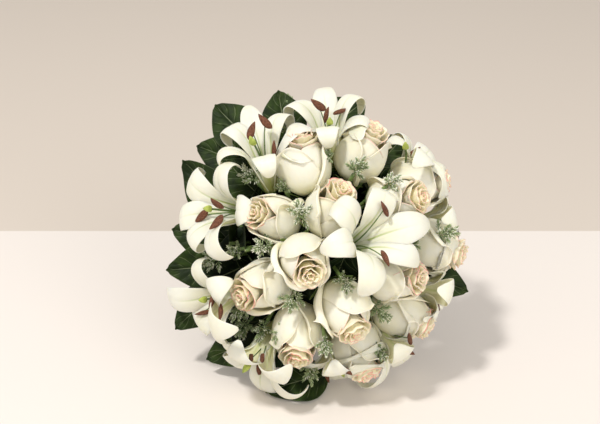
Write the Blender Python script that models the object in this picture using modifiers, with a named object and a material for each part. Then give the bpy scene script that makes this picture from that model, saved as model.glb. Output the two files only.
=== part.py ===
"""A hand-tied bridal bouquet of cream roses and white lilies, lying on its side on a table.

Every stem meets at one hub, where the bunch is bound. From there the flowers radiate into a shallow
dome and the bare stems run back, wrapped in ribbon, as the handle. The bunch rests on the leaf and
the lily petals under the dome and on the cut ends of the stems.

Places are given in the bouquet's own frame, in millimetres from the hub: right, up across the dome,
and out along the bouquet's axis. Directions are a lean away from that axis and a clock angle, read
clockwise from straight up by someone who faces the dome.
"""

import math

import bmesh
import bpy
import numpy as np
from mathutils import Matrix, Vector

MM = 0.001

# How the bunch lies: the hub's place, and how far the bouquet's axis points above the horizontal
HUB_X, HUB_Y, HUB_HEIGHT = -3.0, -33.5, 132.0
PITCH = 30.0

GAP = 0.4  # clearance between pieces that press on each other
LILY_GAP = 0.8  # and round a lily, whose hooked tips are faceted coarsely

# Rose head: a furled bud turned about its axis, wide below the middle, with a dished mouth
ROSE_LENGTH = 62.0
ROSE_PROFILE = [(9.0, 58.0), (13.5, 62.0), (18.5, 54.0), (23.0, 45.0), (26.5, 28.0), (24.0, 16.0),
                (15.0, 6.0), (5.0, 0.0)]
ROSE_SIDES = 12

# Each rose: the middle of its mouth, lean and clock of its axis, size against the standard head
ROSES = [
    ((-13, 92, 88), 60, 353, 1.0),
    ((56, 99, 78), 55, 29, 1.0),
    ((25, 39, 110), 45, 33, 0.95),
    ((-56, 19, 98), 42, 283, 0.93),
    ((-5, -39, 130), 30, 158, 0.95),
    ((-69, -58, 86), 53, 243, 1.0),
    ((-18, -117, 68), 58, 186, 1.0),
    ((37, -92, 95), 58, 153, 1.0),
    ((51, -134, 42), 75, 160, 0.96),
    ((111, -86, 36), 80, 114, 1.0),
    ((97, -41, 88), 53, 94, 0.95),
    ((142, -19, 38), 80, 111, 1.0),
    ((98, 34, 94), 53, 82, 0.96),
    ((128, 54, 38), 78, 84, 0.96),
]

# Lily: six petals that stand as a trumpet and then roll back
LILY_LENGTH = 98.0
LILY_HEART = 25.0  # the throat's middle, measured up the axis from the flower's base
TRUMPET_RADIUS = 4.0
TRUMPET_ANGLE = 14.0
PETAL_WIDTH = 30.0
PETAL_THICKNESS = 2.0
PETAL_START = 0.32  # share of a petal's length that is part of the trumpet
PETAL_THROAT = 5.0  # half the width that it leaves the trumpet with
PETAL_WIDEST = 0.45  # where it is widest, as a share of its free length
PETAL_TAPER = 0.58  # share of the free length over which it would narrow to nothing
PETAL_BLUNT = 0.8  # below 1 keeps the tip broad for longer
PETAL_DRAPE = 0.2  # share of the free length over which it eases out over a rose
HOOK_START = 0.6  # share of the length where a tip begins to roll in further, as a hook
HOOK_FROM, HOOK_FULL = 85.0, 135.0  # a tip's angle without a hook, and one with all of it
# The trumpet, where the petals' feet are one: radius and height up its outside, then its throat
TRUMPET_OUTSIDE = [(13.5, 36.0), (4.5, 0.0)]
TRUMPET_THROAT = [(0.0, 14.0), (11.0, 36.0)]
TRUMPET_SIDES = 9

# Each lily: its heart, lean, clock, its petals' width against the widest, how many degrees further
# their tips hook, and the petals as (clock about the axis, angle reached at the tip, share of the
# length where the roll begins, length against the standard petal)
LILIES = [
    ((-46, 62, 64), 60, 345, .72, 60, [(345, 90, .42, 1.0), (30, 140, .42, 1.1), (80, 150, .38, .8),
                                       (165, 165, .40, .9), (255, 175, .40, 1.0), (310, 160, .44, 1.1)]),
    ((15, 87, 58), 62, 352, .72, 60, [(352, 100, .42, 1.0), (45, 150, .45, 1.05), (100, 150, .38, .9),
                                      (175, 150, .42, .9), (235, 160, .38, .95), (305, 165, .42, 1.1)]),
    ((-74, 22, 66), 55, 275, .8, 75, [(315, 140, .38, 1.05), (17, 165, .38, .95), (95, 165, .38, .7),
                                      (160, 150, .38, 1.05), (220, 150, .40, 1.05), (260, 130, .40, 1.05)]),
    ((-81, -56, 46), 63, 245, .85, 75, [(345, 160, .40, .9), (50, 150, .40, .95), (98, 125, .40, 1.15),
                                        (170, 150, .40, .9), (225, 150, .40, .95), (275, 110, .40, 1.05)]),
    ((-47, -104, 34), 76, 205, 1.0, 0, [(0, 150, .40, .85), (60, 150, .40, 1.0), (120, 150, .40, 1.08),
                                        (180, 150, .40, 1.05), (240, 150, .40, .9), (300, 160, .40, .8)]),
    ((38, -9, 92), 30, 65, .92, 75, [(75, 108, .35, 1.05), (15, 160, .42, 1.1), (305, 165, .40, 1.05),
                                     (250, 125, .38, 1.0), (195, 125, .38, 1.1), (118, 112, .38, .95)]),
    ((92, 64, 26), 76, 48, 1.0, 0, [(45, 150, .40, .9), (105, 150, .40, .8), (165, 150, .40, .85),
                                    (225, 150, .40, .9), (285, 150, .40, .75), (345, 150, .40, .8)]),
    ((116, 15, 14), 88, 80, 1.0, 0, [(80, 140, .40, .8), (140, 150, .40, .8), (200, 150, .40, .75),
                                     (260, 150, .40, .8), (320, 150, .40, .75), (20, 150, .40, .75)]),
    ((70, -96, 22), 85, 145, 1.0, 0, [(85, 150, .40, .6), (145, 140, .40, .95), (205, 140, .40, 1.0),
                                      (265, 150, .40, .8), (325, 150, .40, .9), (25, 150, .40, .6)]),
    ((20, -112, 22), 82, 172, 1.0, 0, [(110, 150, .40, .65), (170, 150, .40, .85), (230, 150, .40, .65),
                                       (290, 150, .40, .65), (350, 150, .40, .85), (50, 150, .40, .65)]),
    ((108, -52, 20), 88, 102, 1.0, 0, [(47, 150, .40, .7), (107, 150, .40, .85), (167, 150, .40, .7),
                                       (227, 150, .40, .7), (287, 150, .40, .85), (347, 150, .40, .7)]),
]

# Each leaf: root, tip, greatest width, and the lean and clock that its upper face points to
LEAF_THICKNESS = 1.4
LEAF_ARCH = 0.08  # rise of the midrib's middle, against the leaf's length
LEAF_FOLD = 0.16  # rise of the edges above the midrib, against the distance from it
LEAF_FOOT = 0.10  # width at the root, against the greatest width
LEAF_SKEW = 0.75  # below 1 sets the widest place nearer the root
LEAF_TIP = 0.98  # how near the outline comes to a point at the tip, where 1 is a point
LEAVES = [
    ((-58, 88, 16), (-98, 134, 2), 50, 25, 330),
    ((-66, 72, 2), (-119, 92, -4), 42, 30, 300),
    ((-60, 66, 22), (-92, 112, 14), 36, 40, 300),
    ((-52, 40, 24), (-86, 76, 22), 44, 35, 310),
    ((-82, 20, 4), (-130, 78, 4), 48, 35, 285),
    ((-88, -2, -2), (-142, 10, 0), 42, 35, 275),
    ((-86, -24, -6), (-148, -32, -4), 44, 35, 265),
    ((-88, -50, -6), (-138, -92, -6), 44, 40, 250),
    ((-24, 92, 8), (-36, 148, 4), 46, 25, 350),
    ((4, 100, 2), (52, 138, -3), 52, 25, 10),
    ((14, -139, -10), (-48, -151, 5), 50, 30, 0),
    ((-50, -100, -12), (-108, -122, -14), 40, 40, 250),
    ((96, -34, -8), (154, -54, -4), 40, 35, 105),
    ((60, 72, -4), (92, 104, -16), 38, 35, 40),
]

# Each sprig of needles: its middle and its radius
SPRIG_POINTS = 1.9  # reach of the needle tips against the radius of the tuft's core
SPRIG_FACE = 0.8  # distance from the core's middle to a face, against its radius
SPRIGS = [
    ((-60, 55, 62), 11), ((-14, 18, 106), 11), ((-48, -12, 92), 11), ((-98, -24, 45), 11),
    ((-21, -60, 88), 11), ((39, 60, 92), 10), ((70, 46, 104), 9), ((123, 2, 60), 10),
    ((88, -9, 62), 10), ((27, -46, 102), 9), ((61, -72, 66), 10), ((-50, -90, 46), 10),
    ((-4, -128, 32), 10), ((9, -102, 78), 9),
]

# Stems, binding and handle, along the axis behind the hub. The stems are two solids that meet there:
# the stalks that fan out to the flowers, and the bound handle
HUB_BALL = 11.0
STEM_RADIUS = 2.9
STEM_SPACING = 5.2
STEM_RINGS = [(0, 1), (1, 6), (2, 12)]  # places out from the middle, and the stems in each ring
STEM_TURN = 0.3  # turn of each ring against the one inside it, in steps between its stems
STEM_UNEVEN = 2.4  # radians between the cut lengths of neighbouring inner stems
STEM_NECK = 0.96  # how far the stems draw together at the hub
STEM_FRONT, STEM_STEP = -12.0, -0.11  # where the first stem begins, and each one more behind it
STEM_END = -241.0
STEM_STAGGER = 4.0  # the inner stems are cut up to this much shorter
BRANCH_RADIUS = 1.8
BRANCH_FOOT, BRANCH_ROOT = 5.0, -4.0  # a branch starts this far out from the axis and along it
BRANCH_BEND = 0.45  # reach of the bend before its flower, against the branch's length
BRANCH_STEPS = (0.0, 0.55, 1.0)
BRANCH_SEAT = 0.2  # how far short of the flower's base it stops
WRAP_INNER, WRAP_OUTER = 13.9, 16.0
WRAP_START, WRAP_END = -36.0, -200.0
TAPE_OUTER = 15.2
TAPE_START, TAPE_END = -17.5, -34.0
PIN_HEAD, PIN_SHAFT = 3.0, 0.6
PIN_DEPTH = 8.0  # distance of the pin's point from the handle's axis
PIN_PLACES = (-62.0, -110.0, -158.0)
RING_SIDES = 24

CREAM = (0.90, 0.86, 0.72, 1.0)
WHITE = (0.92, 0.91, 0.83, 1.0)
LEAF_GREEN = (0.035, 0.10, 0.03, 1.0)
SAGE = (0.30, 0.40, 0.24, 1.0)
STEM_GREEN = (0.16, 0.26, 0.07, 1.0)
TAPE_GREEN = (0.10, 0.20, 0.07, 1.0)
SATIN = (0.88, 0.85, 0.76, 1.0)
PEARL = (0.90, 0.87, 0.82, 1.0)


def clear_scene():
    """Removes every object that the file opened with."""
    for obj in list(bpy.data.objects):
        bpy.data.objects.remove(obj, do_unlink=True)


def new_collection(name, hidden=False):
    """A collection under the scene's own, left out of the render where it holds cutters."""
    collection = bpy.data.collections.new(name)
    collection.hide_render = hidden
    bpy.context.scene.collection.children.link(collection)
    return collection


def finish(name, colour, roughness):
    """A plain Principled material."""
    material = bpy.data.materials.new(name)
    material.use_nodes = True
    shader = material.node_tree.nodes["Principled BSDF"]
    shader.inputs["Base Color"].default_value = colour
    shader.inputs["Roughness"].default_value = roughness
    shader.inputs["Metallic"].default_value = 0.0
    return material


def aim(lean, clock):
    """The unit direction at this lean from the axis and this clock angle, in the bouquet's frame."""
    a, c = math.radians(lean), math.radians(clock)
    return Vector((math.sin(a) * math.sin(c), math.sin(a) * math.cos(c), math.cos(a)))


def turned_to(direction):
    """The smallest rotation that takes the bouquet's axis to a direction."""
    return Vector((0, 0, 1)).rotation_difference(direction).to_matrix().to_4x4()


def placed(point, direction):
    """The matrix that sets a flower's base on a point, in millimetres, with its axis along a direction."""
    return Matrix.Translation(Vector(point) * MM) @ turned_to(direction)


def shape(name, mesh, matrix, collection):
    """An object that holds a mesh and hangs on the bouquet's frame."""
    obj = bpy.data.objects.new(name, mesh)
    collection.objects.link(obj)
    obj.parent = FRAME
    obj.matrix_basis = matrix
    return obj


def baked(obj):
    """Replaces an object's mesh by what its modifiers make of it."""
    bpy.context.view_layer.update()
    made = bpy.data.meshes.new_from_object(obj.evaluated_get(bpy.context.evaluated_depsgraph_get()))
    obj.modifiers.clear()
    old = obj.data
    obj.data = made
    bpy.data.meshes.remove(old)
    return obj


def keep_largest(obj):
    """Drops every loose piece of a mesh but the largest, such as the tip of a petal cut off."""
    bm = bmesh.new()
    bm.from_mesh(obj.data)
    pieces, unseen = [], set(bm.verts)
    while unseen:
        piece, front = set(), [unseen.pop()]
        while front:
            vert = front.pop()
            piece.add(vert)
            near = {edge.other_vert(vert) for edge in vert.link_edges} & unseen
            unseen -= near
            front.extend(near)
        pieces.append(piece)
    if not pieces:
        raise ValueError(f"{obj.name} lies wholly inside its neighbours")
    largest = max(pieces, key=size_of)
    loose = [vert for piece in pieces if piece is not largest for vert in piece]
    bmesh.ops.delete(bm, geom=loose, context="VERTS")
    bm.to_mesh(obj.data)
    bm.free()
    return obj


def size_of(verts):
    """The sum of the sides of the box round some vertices."""
    low = [min(vert.co[i] for vert in verts) for i in range(3)]
    high = [max(vert.co[i] for vert in verts) for i in range(3)]
    return sum(high) - sum(low)


def boolean(obj, operation, other):
    """Joins or cuts an object with another and bakes the result. A lily's petals run into each
    other at the foot, where the exact solver loses faces, so these use the manifold one."""
    modifier = obj.modifiers.new(operation.lower(), "BOOLEAN")
    modifier.operation = operation
    modifier.object = other
    modifier.solver = "MANIFOLD"
    return baked(obj)


def joined(obj, others):
    """The union of an object with others, which are then removed."""
    for other in others:
        boolean(obj, "UNION", other)
        bpy.data.objects.remove(other, do_unlink=True)
    return obj


def world_box(obj):
    """The lowest and highest corners of an object, in metres."""
    corners = np.array([obj.matrix_world @ vert.co for vert in obj.data.vertices])
    return corners.min(axis=0), corners.max(axis=0)


def cut_clear(obj, cutters):
    """Cuts an object back from each cutter whose box meets its own, and keeps the largest piece."""
    bpy.context.view_layer.update()
    low, high = world_box(obj)
    near = []
    for cutter in cutters:
        other_low, other_high = world_box(cutter)
        if (low < other_high).all() and (other_low < high).all():
            near.append(cutter)
    for cutter in near:
        boolean(obj, "DIFFERENCE", cutter)
    return keep_largest(obj)


def turned(name, profile, steps, matrix, collection, closed=False):
    """A solid of revolution about the local Z axis, from its half outline in millimetres, top first.
    A closed outline joins its last point to its first, and makes a ring."""
    mesh = bpy.data.meshes.new(name)
    edges = [(i, i + 1) for i in range(len(profile) - 1)]
    if closed:
        edges.append((len(profile) - 1, 0))
    mesh.from_pydata([(r * MM, 0, z * MM) for r, z in profile], edges, [])
    obj = shape(name, mesh, matrix, collection)
    screw = obj.modifiers.new("turn", "SCREW")
    screw.axis = "Z"
    screw.steps = screw.render_steps = steps
    screw.use_merge_vertices = True
    screw.merge_threshold = 1e-5
    return baked(obj)


def tube_of(name, points, radius, collection, roundness=1):
    """A rod through points in millimetres, as a closed mesh."""
    curve = bpy.data.curves.new(name, "CURVE")
    curve.dimensions = "3D"
    curve.bevel_depth = radius * MM
    curve.bevel_resolution = roundness
    curve.use_fill_caps = True
    spline = curve.splines.new("POLY")
    spline.points.add(len(points) - 1)
    for slot, point in zip(spline.points, points):
        slot.co = (*(Vector(point) * MM), 1.0)
    rod = shape(name + "_curve", curve, Matrix(), collection)
    bpy.context.view_layer.update()
    mesh = bpy.data.meshes.new_from_object(rod.evaluated_get(bpy.context.evaluated_depsgraph_get()))
    bpy.data.objects.remove(rod, do_unlink=True)
    bm = bmesh.new()
    bm.from_mesh(mesh)
    bmesh.ops.remove_doubles(bm, verts=bm.verts, dist=1e-6)
    bmesh.ops.recalc_face_normals(bm, faces=bm.faces)
    bm.to_mesh(mesh)
    bm.free()
    return shape(name, mesh, Matrix(), collection)


def sheet(name, across, along, surface, thickness, collection, matrix):
    """A thin solid: a grid laid on surface(x, y), for x in -1..1 and y in 0..1, and then thickened."""
    bm = bmesh.new()
    bmesh.ops.create_grid(bm, x_segments=across, y_segments=along, size=1.0)
    flat = np.array([vert.co for vert in bm.verts])
    for vert, point in zip(bm.verts, surface(flat[:, 0], 0.5 + 0.5 * flat[:, 1])):
        vert.co = Vector(point) * MM
    mesh = bpy.data.meshes.new(name)
    bm.to_mesh(mesh)
    bm.free()
    obj = shape(name, mesh, matrix, collection)
    wall = obj.modifiers.new("wall", "SOLIDIFY")
    wall.thickness = thickness * MM
    wall.offset = 0.0
    return baked(obj)


def rose_matrix(rose):
    """Where a rose's base sits, worked out from the middle of its mouth."""
    mouth, lean, clock, scale = rose
    axis = aim(lean, clock)
    return placed(Vector(mouth) - axis * ROSE_LENGTH * scale, axis)


def rose_solid(name, rose, grow, collection):
    """A rose head, its outline moved outward by grow."""
    scale = rose[3]
    (mouth_radius, mouth_height), (lip_radius, lip_height), *sides = [
        (r * scale, z * scale) for r, z in ROSE_PROFILE
    ]
    outline = [(r + grow, z if z else -grow) for r, z in sides]
    mouth = (mouth_radius - grow, mouth_height + grow)
    lip = (lip_radius, lip_height + 2 * grow)
    profile = [(0.0, mouth[1]), mouth, lip, *outline, (0.0, -grow)]
    return turned(name, profile, ROSE_SIDES, rose_matrix(rose), collection)


def outside_roses(points, margin):
    """Moves points, in millimetres in the bouquet's frame, out of the rose heads, away from each axis."""
    radii = np.array(ROSE_PROFILE[1:])[::-1]
    for rose in ROSES:
        scale = rose[3]
        matrix = np.array(rose_matrix(rose))
        origin, turn = matrix[:3, 3] / MM, matrix[:3, :3]
        local = (points - origin) @ turn
        radius = np.hypot(local[:, 0], local[:, 1])
        wall = np.interp(local[:, 2] / scale, radii[:, 1], radii[:, 0], left=-99, right=-99) * scale
        push = np.maximum(wall + margin - radius, 0) / np.maximum(radius, 1.0)
        local[:, 0] += local[:, 0] * push
        local[:, 1] += local[:, 1] * push
        points = local @ turn.T + origin
    return points


def above_table(points, clearance):
    """Lifts points, in millimetres in the bouquet's frame, that would lie below the table."""
    pitch = math.radians(PITCH)
    up = np.array([0.0, math.cos(pitch), math.sin(pitch)])
    height = HUB_HEIGHT + points @ up
    return points + np.outer(np.maximum(clearance - height, 0), up)


def petal_curve(tip_angle, knee, length, hook, count=60):
    """Radius and height along a petal's middle: the tangent leans by the trumpet's angle as far as
    the knee, then evenly more until it reaches the tip's angle, with the hook eased in near the
    tip, and its components are summed."""
    share = np.linspace(0, 1, count)
    rolled = np.clip((share - knee) / (1 - knee), 0, 1)
    late = np.clip((share - HOOK_START) / (1 - HOOK_START), 0, 1)
    held = min(max((tip_angle - HOOK_FROM) / (HOOK_FULL - HOOK_FROM), 0), 1)
    curl = hook * held * late * late * (3 - 2 * late)
    lean = np.radians(TRUMPET_ANGLE + (tip_angle - TRUMPET_ANGLE) * rolled**1.1 + curl)
    step = length / (count - 1)
    middle = 0.5 * (lean[1:] + lean[:-1])
    radius = TRUMPET_RADIUS + np.concatenate([[0], np.cumsum(np.sin(middle) * step)])
    height = np.concatenate([[0], np.cumsum(np.cos(middle) * step)])
    return share, radius, height


def lily_matrix(lily):
    """Where a lily's base sits, worked out from its heart."""
    heart, lean, clock, *_ = lily
    axis = aim(lean, clock)
    return placed(Vector(heart) - axis * LILY_HEART, axis)


def lily_petal(name, lily, petal, grow, collection):
    """One petal of a lily, draped over the roses and above the table."""
    breadth, hook = lily[3:5]
    azimuth, tip_angle, knee, scale = petal
    share, radius, height = petal_curve(tip_angle, knee, LILY_LENGTH * scale, hook)
    clock = math.radians(azimuth)
    out = np.array([math.sin(clock), math.cos(clock), 0.0])
    side = np.array([out[1], -out[0], 0.0])
    matrix = np.array(lily_matrix(lily))
    origin, turn = matrix[:3, 3] / MM, matrix[:3, :3]

    def surface(x, y):
        swell = np.sin(np.pi / 2 * np.clip(y / PETAL_WIDEST, 0, 1))
        taper = np.cos(np.pi / 2 * np.clip((y - PETAL_WIDEST) / PETAL_TAPER, 0, 1)) ** PETAL_BLUNT
        half = (PETAL_THROAT + (PETAL_WIDTH / 2 - PETAL_THROAT) * swell) * taper * breadth + grow
        stretch = PETAL_START + (1 - PETAL_START) * y + (2 * y - 1) * grow / LILY_LENGTH
        r = np.interp(stretch, share, radius)[:, None]
        z = np.interp(stretch, share, height)[:, None]
        points = r * out + z * np.array([0, 0, 1.0]) + (x * half)[:, None] * side
        seated = points @ turn.T + origin
        margin = PETAL_THICKNESS / 2 + GAP
        free = outside_roses(seated, margin)
        eased = np.clip(y / PETAL_DRAPE, 0, 1)[:, None]
        seated = above_table(seated + (free - seated) * eased, PETAL_THICKNESS / 2 + grow)
        return (seated - origin) @ turn

    return sheet(name, 2, 4, surface, PETAL_THICKNESS + 2 * grow, collection, lily_matrix(lily))


def lily_solid(name, lily, grow, collection):
    """A lily: its petals joined to the trumpet that they rise from."""
    outside = [(r + grow, z + grow if z else -grow) for r, z in TRUMPET_OUTSIDE]
    throat = [(r, z + grow) for r, z in TRUMPET_THROAT]
    profile = [*throat, *outside, (0.0, -grow)]
    tube = turned(name, profile, TRUMPET_SIDES, lily_matrix(lily), collection)
    petals = [
        lily_petal(f"{name}_petal_{i}", lily, petal, grow, collection)
        for i, petal in enumerate(lily[5])
    ]
    return keep_largest(joined(tube, petals))


def leaf_solid(name, leaf, grow, collection):
    """A broad pointed leaf, arched along its midrib and folded up at the edges."""
    root, tip, width, lean, clock = leaf
    root, tip = np.array(root, float), np.array(tip, float)
    length = np.linalg.norm(tip - root)
    along = (tip - root) / length
    face = np.array(aim(lean, clock))
    face -= along * (face @ along)
    face /= np.linalg.norm(face)
    side = np.cross(along, face)

    def surface(x, y):
        swell = np.sin(np.pi * np.clip(y * LEAF_TIP, 0, 1) ** LEAF_SKEW)
        half = width / 2 * (LEAF_FOOT + (1 - LEAF_FOOT) * swell) + grow
        rise = LEAF_ARCH * length * np.sin(np.pi * y) + LEAF_FOLD * np.abs(x) * half
        reach = length * y + (2 * y - 1) * grow
        points = root + np.outer(reach, along) + np.outer(x * half, side) + np.outer(rise, face)
        return above_table(points, LEAF_THICKNESS / 2 + grow)

    return sheet(name, 2, 4, surface, LEAF_THICKNESS + 2 * grow, collection, Matrix())


def sprig_solid(name, sprig, grow, collection):
    """A tuft of needles as a small ball whose faces are drawn out to points."""
    middle, radius = sprig
    core = radius / SPRIG_POINTS + grow
    bm = bmesh.new()
    bmesh.ops.create_icosphere(bm, subdivisions=1, radius=core * MM)
    bmesh.ops.poke(bm, faces=bm.faces, offset=(radius + grow - SPRIG_FACE * core) * MM)
    mesh = bpy.data.meshes.new(name)
    bm.to_mesh(mesh)
    bm.free()
    return shape(name, mesh, placed(middle, Vector(middle).normalized()), collection)


def branch(name, end, direction, collection):
    """A stem that leaves the hub and bends into the line of the flower or leaf it carries."""
    end = Vector(end)
    start = Vector((end.x, end.y, 0)).normalized() * BRANCH_FOOT + Vector((0, 0, BRANCH_ROOT))
    bend = end - direction * end.length * BRANCH_BEND
    stop = end - direction * BRANCH_SEAT
    points = [start * (1 - t) ** 2 + bend * 2 * t * (1 - t) + stop * t**2 for t in BRANCH_STEPS]
    return tube_of(name, points, BRANCH_RADIUS, collection, roundness=0)


def handle_stems(collection):
    """The stems behind the hub, packed as one in the middle, six round it and twelve outside. Only
    the outer ring reaches the full length, so the bunch stands on its cut ends."""
    places = [
        (ring, 2 * math.pi * (i + STEM_TURN * ring) / count)
        for ring, count in STEM_RINGS
        for i in range(count)
    ]
    stems = []
    for i, (ring, turn) in enumerate(places):
        inner = ring < STEM_RINGS[-1][0]
        end = STEM_END + inner * STEM_STAGGER * (0.5 + 0.5 * math.cos(STEM_UNEVEN * i))
        x, y = ring * STEM_SPACING * math.sin(turn), ring * STEM_SPACING * math.cos(turn)
        points = [(x * STEM_NECK, y * STEM_NECK, STEM_FRONT + STEM_STEP * i), (x, y, end)]
        stems.append(tube_of(f"handle_stem_{i}", points, STEM_RADIUS, collection))
    first, *others = stems
    first.name = "handle_stems"
    return joined(first, others)


def flower_stalks(collection):
    """The stems ahead of the binding as one solid: a branch from the hub to every flower, leaf and sprig."""
    bm = bmesh.new()
    bmesh.ops.create_uvsphere(bm, u_segments=12, v_segments=8, radius=HUB_BALL * MM)
    mesh = bpy.data.meshes.new("flower_stalks")
    bm.to_mesh(mesh)
    bm.free()
    hub = shape("flower_stalks", mesh, Matrix(), collection)
    ends = [(Vector(rose_matrix(rose).translation) / MM, aim(rose[1], rose[2])) for rose in ROSES]
    ends += [(Vector(lily_matrix(lily).translation) / MM, aim(lily[1], lily[2])) for lily in LILIES]
    ends += [(Vector(leaf[0]), (Vector(leaf[1]) - Vector(leaf[0])).normalized()) for leaf in LEAVES]
    ends += [(Vector(sprig[0]), Vector(sprig[0]).normalized()) for sprig in SPRIGS]
    return joined(hub, [branch(f"branch_{i}", *end, collection) for i, end in enumerate(ends)])


def ring(name, inner, outer, start, end, grow, collection):
    """A sleeve round the stems, as a closed outline carried once round the axis."""
    inner, outer, start, end = inner - grow, outer + grow, start + grow, end - grow
    outline = [(inner, start), (outer, start), (outer, end), (inner, end)]
    return turned(name, outline, RING_SIDES, Matrix(), collection, closed=True)


def pearl_pin(name, place, grow, collection):
    """A pin pushed square into the handle from above, with a pearl for a head."""
    bm = bmesh.new()
    bmesh.ops.create_uvsphere(bm, u_segments=10, v_segments=6, radius=(PIN_HEAD + grow) * MM)
    mesh = bpy.data.meshes.new(name)
    bm.to_mesh(mesh)
    bm.free()
    seat = Vector((0, WRAP_OUTER + PIN_HEAD + GAP, place))
    head = shape(name, mesh, Matrix.Translation(seat * MM), collection)
    shaft = tube_of(
        name + "_shaft",
        [(0, seat.y, place), (0, PIN_DEPTH - grow, place)],
        PIN_SHAFT + grow,
        collection,
    )
    return joined(head, [shaft])


def dress(obj, material):
    """Gives a finished piece its material and smooth shading."""
    obj.data.materials.clear()
    obj.data.materials.append(material)
    obj.data.shade_smooth()
    obj.data.set_sharp_from_angle(angle=math.radians(40))


clear_scene()
pieces = new_collection("bridal_bouquet")
cutters = new_collection("clearances", hidden=True)

pitch = math.radians(PITCH)
FRAME = bpy.data.objects.new("bouquet_frame", None)
pieces.objects.link(FRAME)
FRAME.matrix_world = Matrix((
    (1, 0, 0, HUB_X * MM),
    (0, math.sin(pitch), -math.cos(pitch), HUB_Y * MM),
    (0, math.cos(pitch), math.sin(pitch), HUB_HEIGHT * MM),
    (0, 0, 0, 1),
))

rose_finish = finish("cream_petal", CREAM, 0.55)
lily_finish = finish("white_petal", WHITE, 0.5)
leaf_finish = finish("dark_leaf", LEAF_GREEN, 0.4)
sprig_finish = finish("sage_needle", SAGE, 0.6)
stem_finish = finish("green_stem", STEM_GREEN, 0.55)
tape_finish = finish("florist_tape", TAPE_GREEN, 0.7)
ribbon_finish = finish("satin_ribbon", SATIN, 0.35)
pearl_finish = finish("pearl", PEARL, 0.2)

# From the firmest piece to the softest: each kind is cut clear of the pieces made before it
kinds = [
    ("rose", ROSES, rose_solid, GAP, rose_finish),
    ("lily", LILIES, lily_solid, LILY_GAP, lily_finish),
    ("leaf", LEAVES, leaf_solid, GAP, leaf_finish),
    ("sprig", SPRIGS, sprig_solid, GAP, sprig_finish),
]
clearances = []
for kind, places, build, gap, material in kinds:
    for number, place in enumerate(places, 1):
        name = f"{kind}_{number:02d}"
        piece = build(name, place, 0.0, pieces)
        cut_clear(piece, clearances)
        dress(piece, material)
        clearances.append(build(name + "_clearance", place, gap, cutters))

stalks = flower_stalks(pieces)
stems = handle_stems(pieces)
tape = ring("binding_tape", WRAP_INNER, TAPE_OUTER, TAPE_START, TAPE_END, 0.0, pieces)
wrap = ring("ribbon_wrap", WRAP_INNER, WRAP_OUTER, WRAP_START, WRAP_END, 0.0, pieces)
pin_holes = []
for number, place in enumerate(PIN_PLACES, 1):
    pin = pearl_pin(f"pearl_pin_{number}", place, 0.0, pieces)
    dress(pin, pearl_finish)
    pin_holes.append(pearl_pin(f"pearl_pin_{number}_clearance", place, GAP, cutters))

cut_clear(wrap, pin_holes)
cut_clear(stems, pin_holes)
cut_clear(stalks, clearances)
dress(stems, stem_finish)
dress(stalks, stem_finish)
dress(tape, tape_finish)
dress(wrap, ribbon_finish)

for cutter in cutters.objects:
    cutter.hide_render = True
    cutter.display_type = "WIRE"
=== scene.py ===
"""Looks of a hand-tied bridal bouquet of cream roses and white lilies, lying on its side.

Shapes are worked out in the bouquet's own frame, in millimetres from the hub where the stems are
bound: right, up across the dome, and out along the bouquet's axis. Directions are a lean away from
that axis and a clock angle, read clockwise from straight up by someone who faces the dome.
"""

import logging
import math
from collections.abc import Sequence
from dataclasses import dataclass, field
from enum import Enum

import bpy
import numpy as np
from mathutils import Matrix

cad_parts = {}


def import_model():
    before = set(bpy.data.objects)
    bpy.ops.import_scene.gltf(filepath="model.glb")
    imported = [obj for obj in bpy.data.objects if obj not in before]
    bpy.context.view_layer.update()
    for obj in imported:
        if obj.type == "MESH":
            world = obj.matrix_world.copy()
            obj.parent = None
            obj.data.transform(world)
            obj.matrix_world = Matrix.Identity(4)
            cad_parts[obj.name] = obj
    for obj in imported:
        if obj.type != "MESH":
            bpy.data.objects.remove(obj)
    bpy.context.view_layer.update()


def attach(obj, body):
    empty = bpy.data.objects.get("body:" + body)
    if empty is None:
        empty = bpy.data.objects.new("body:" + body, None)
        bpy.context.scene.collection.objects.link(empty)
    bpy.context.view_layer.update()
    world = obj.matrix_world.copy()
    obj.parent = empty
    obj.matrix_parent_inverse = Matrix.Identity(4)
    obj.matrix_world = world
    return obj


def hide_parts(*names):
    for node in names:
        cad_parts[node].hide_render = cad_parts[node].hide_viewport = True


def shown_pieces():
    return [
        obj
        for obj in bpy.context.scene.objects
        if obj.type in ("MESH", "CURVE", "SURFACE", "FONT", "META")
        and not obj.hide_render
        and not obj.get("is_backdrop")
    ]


Array = np.ndarray
Point = tuple[float, float, float]
Colour = tuple[float, float, float]

log = logging.getLogger("bouquet")

MM = 0.001
HUB = np.array([-3.0, -33.5, 132.0])
PITCH = math.radians(30.0)
AXES = np.array([
    [1.0, 0.0, 0.0],
    [0.0, math.sin(PITCH), math.cos(PITCH)],
    [0.0, -math.cos(PITCH), math.sin(PITCH)],
])
UP = AXES[:, 2]
GOLDEN = math.radians(137.5)


class Hand(Enum):
    """Which way round a furled bud wraps."""

    CLOCKWISE = 1
    COUNTER = -1


# Helpers on arrays


def unit(vectors: Array) -> Array:
    """Vectors scaled to length one."""
    return vectors / np.maximum(np.linalg.norm(vectors, axis=-1, keepdims=True), 1e-9)


def ease(values: Array | float, low: float = 0.0, high: float = 1.0) -> Array:
    """Rises smoothly from 0 at low to 1 at high: three times the square less twice the cube."""
    share = np.clip((np.asarray(values, float) - low) / (high - low), 0.0, 1.0)
    return share * share * (3.0 - 2.0 * share)


def to_world(points: Array) -> Array:
    """Points of the bouquet's frame, in millimetres, as world points in metres."""
    return (HUB + points @ AXES) * MM


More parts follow.
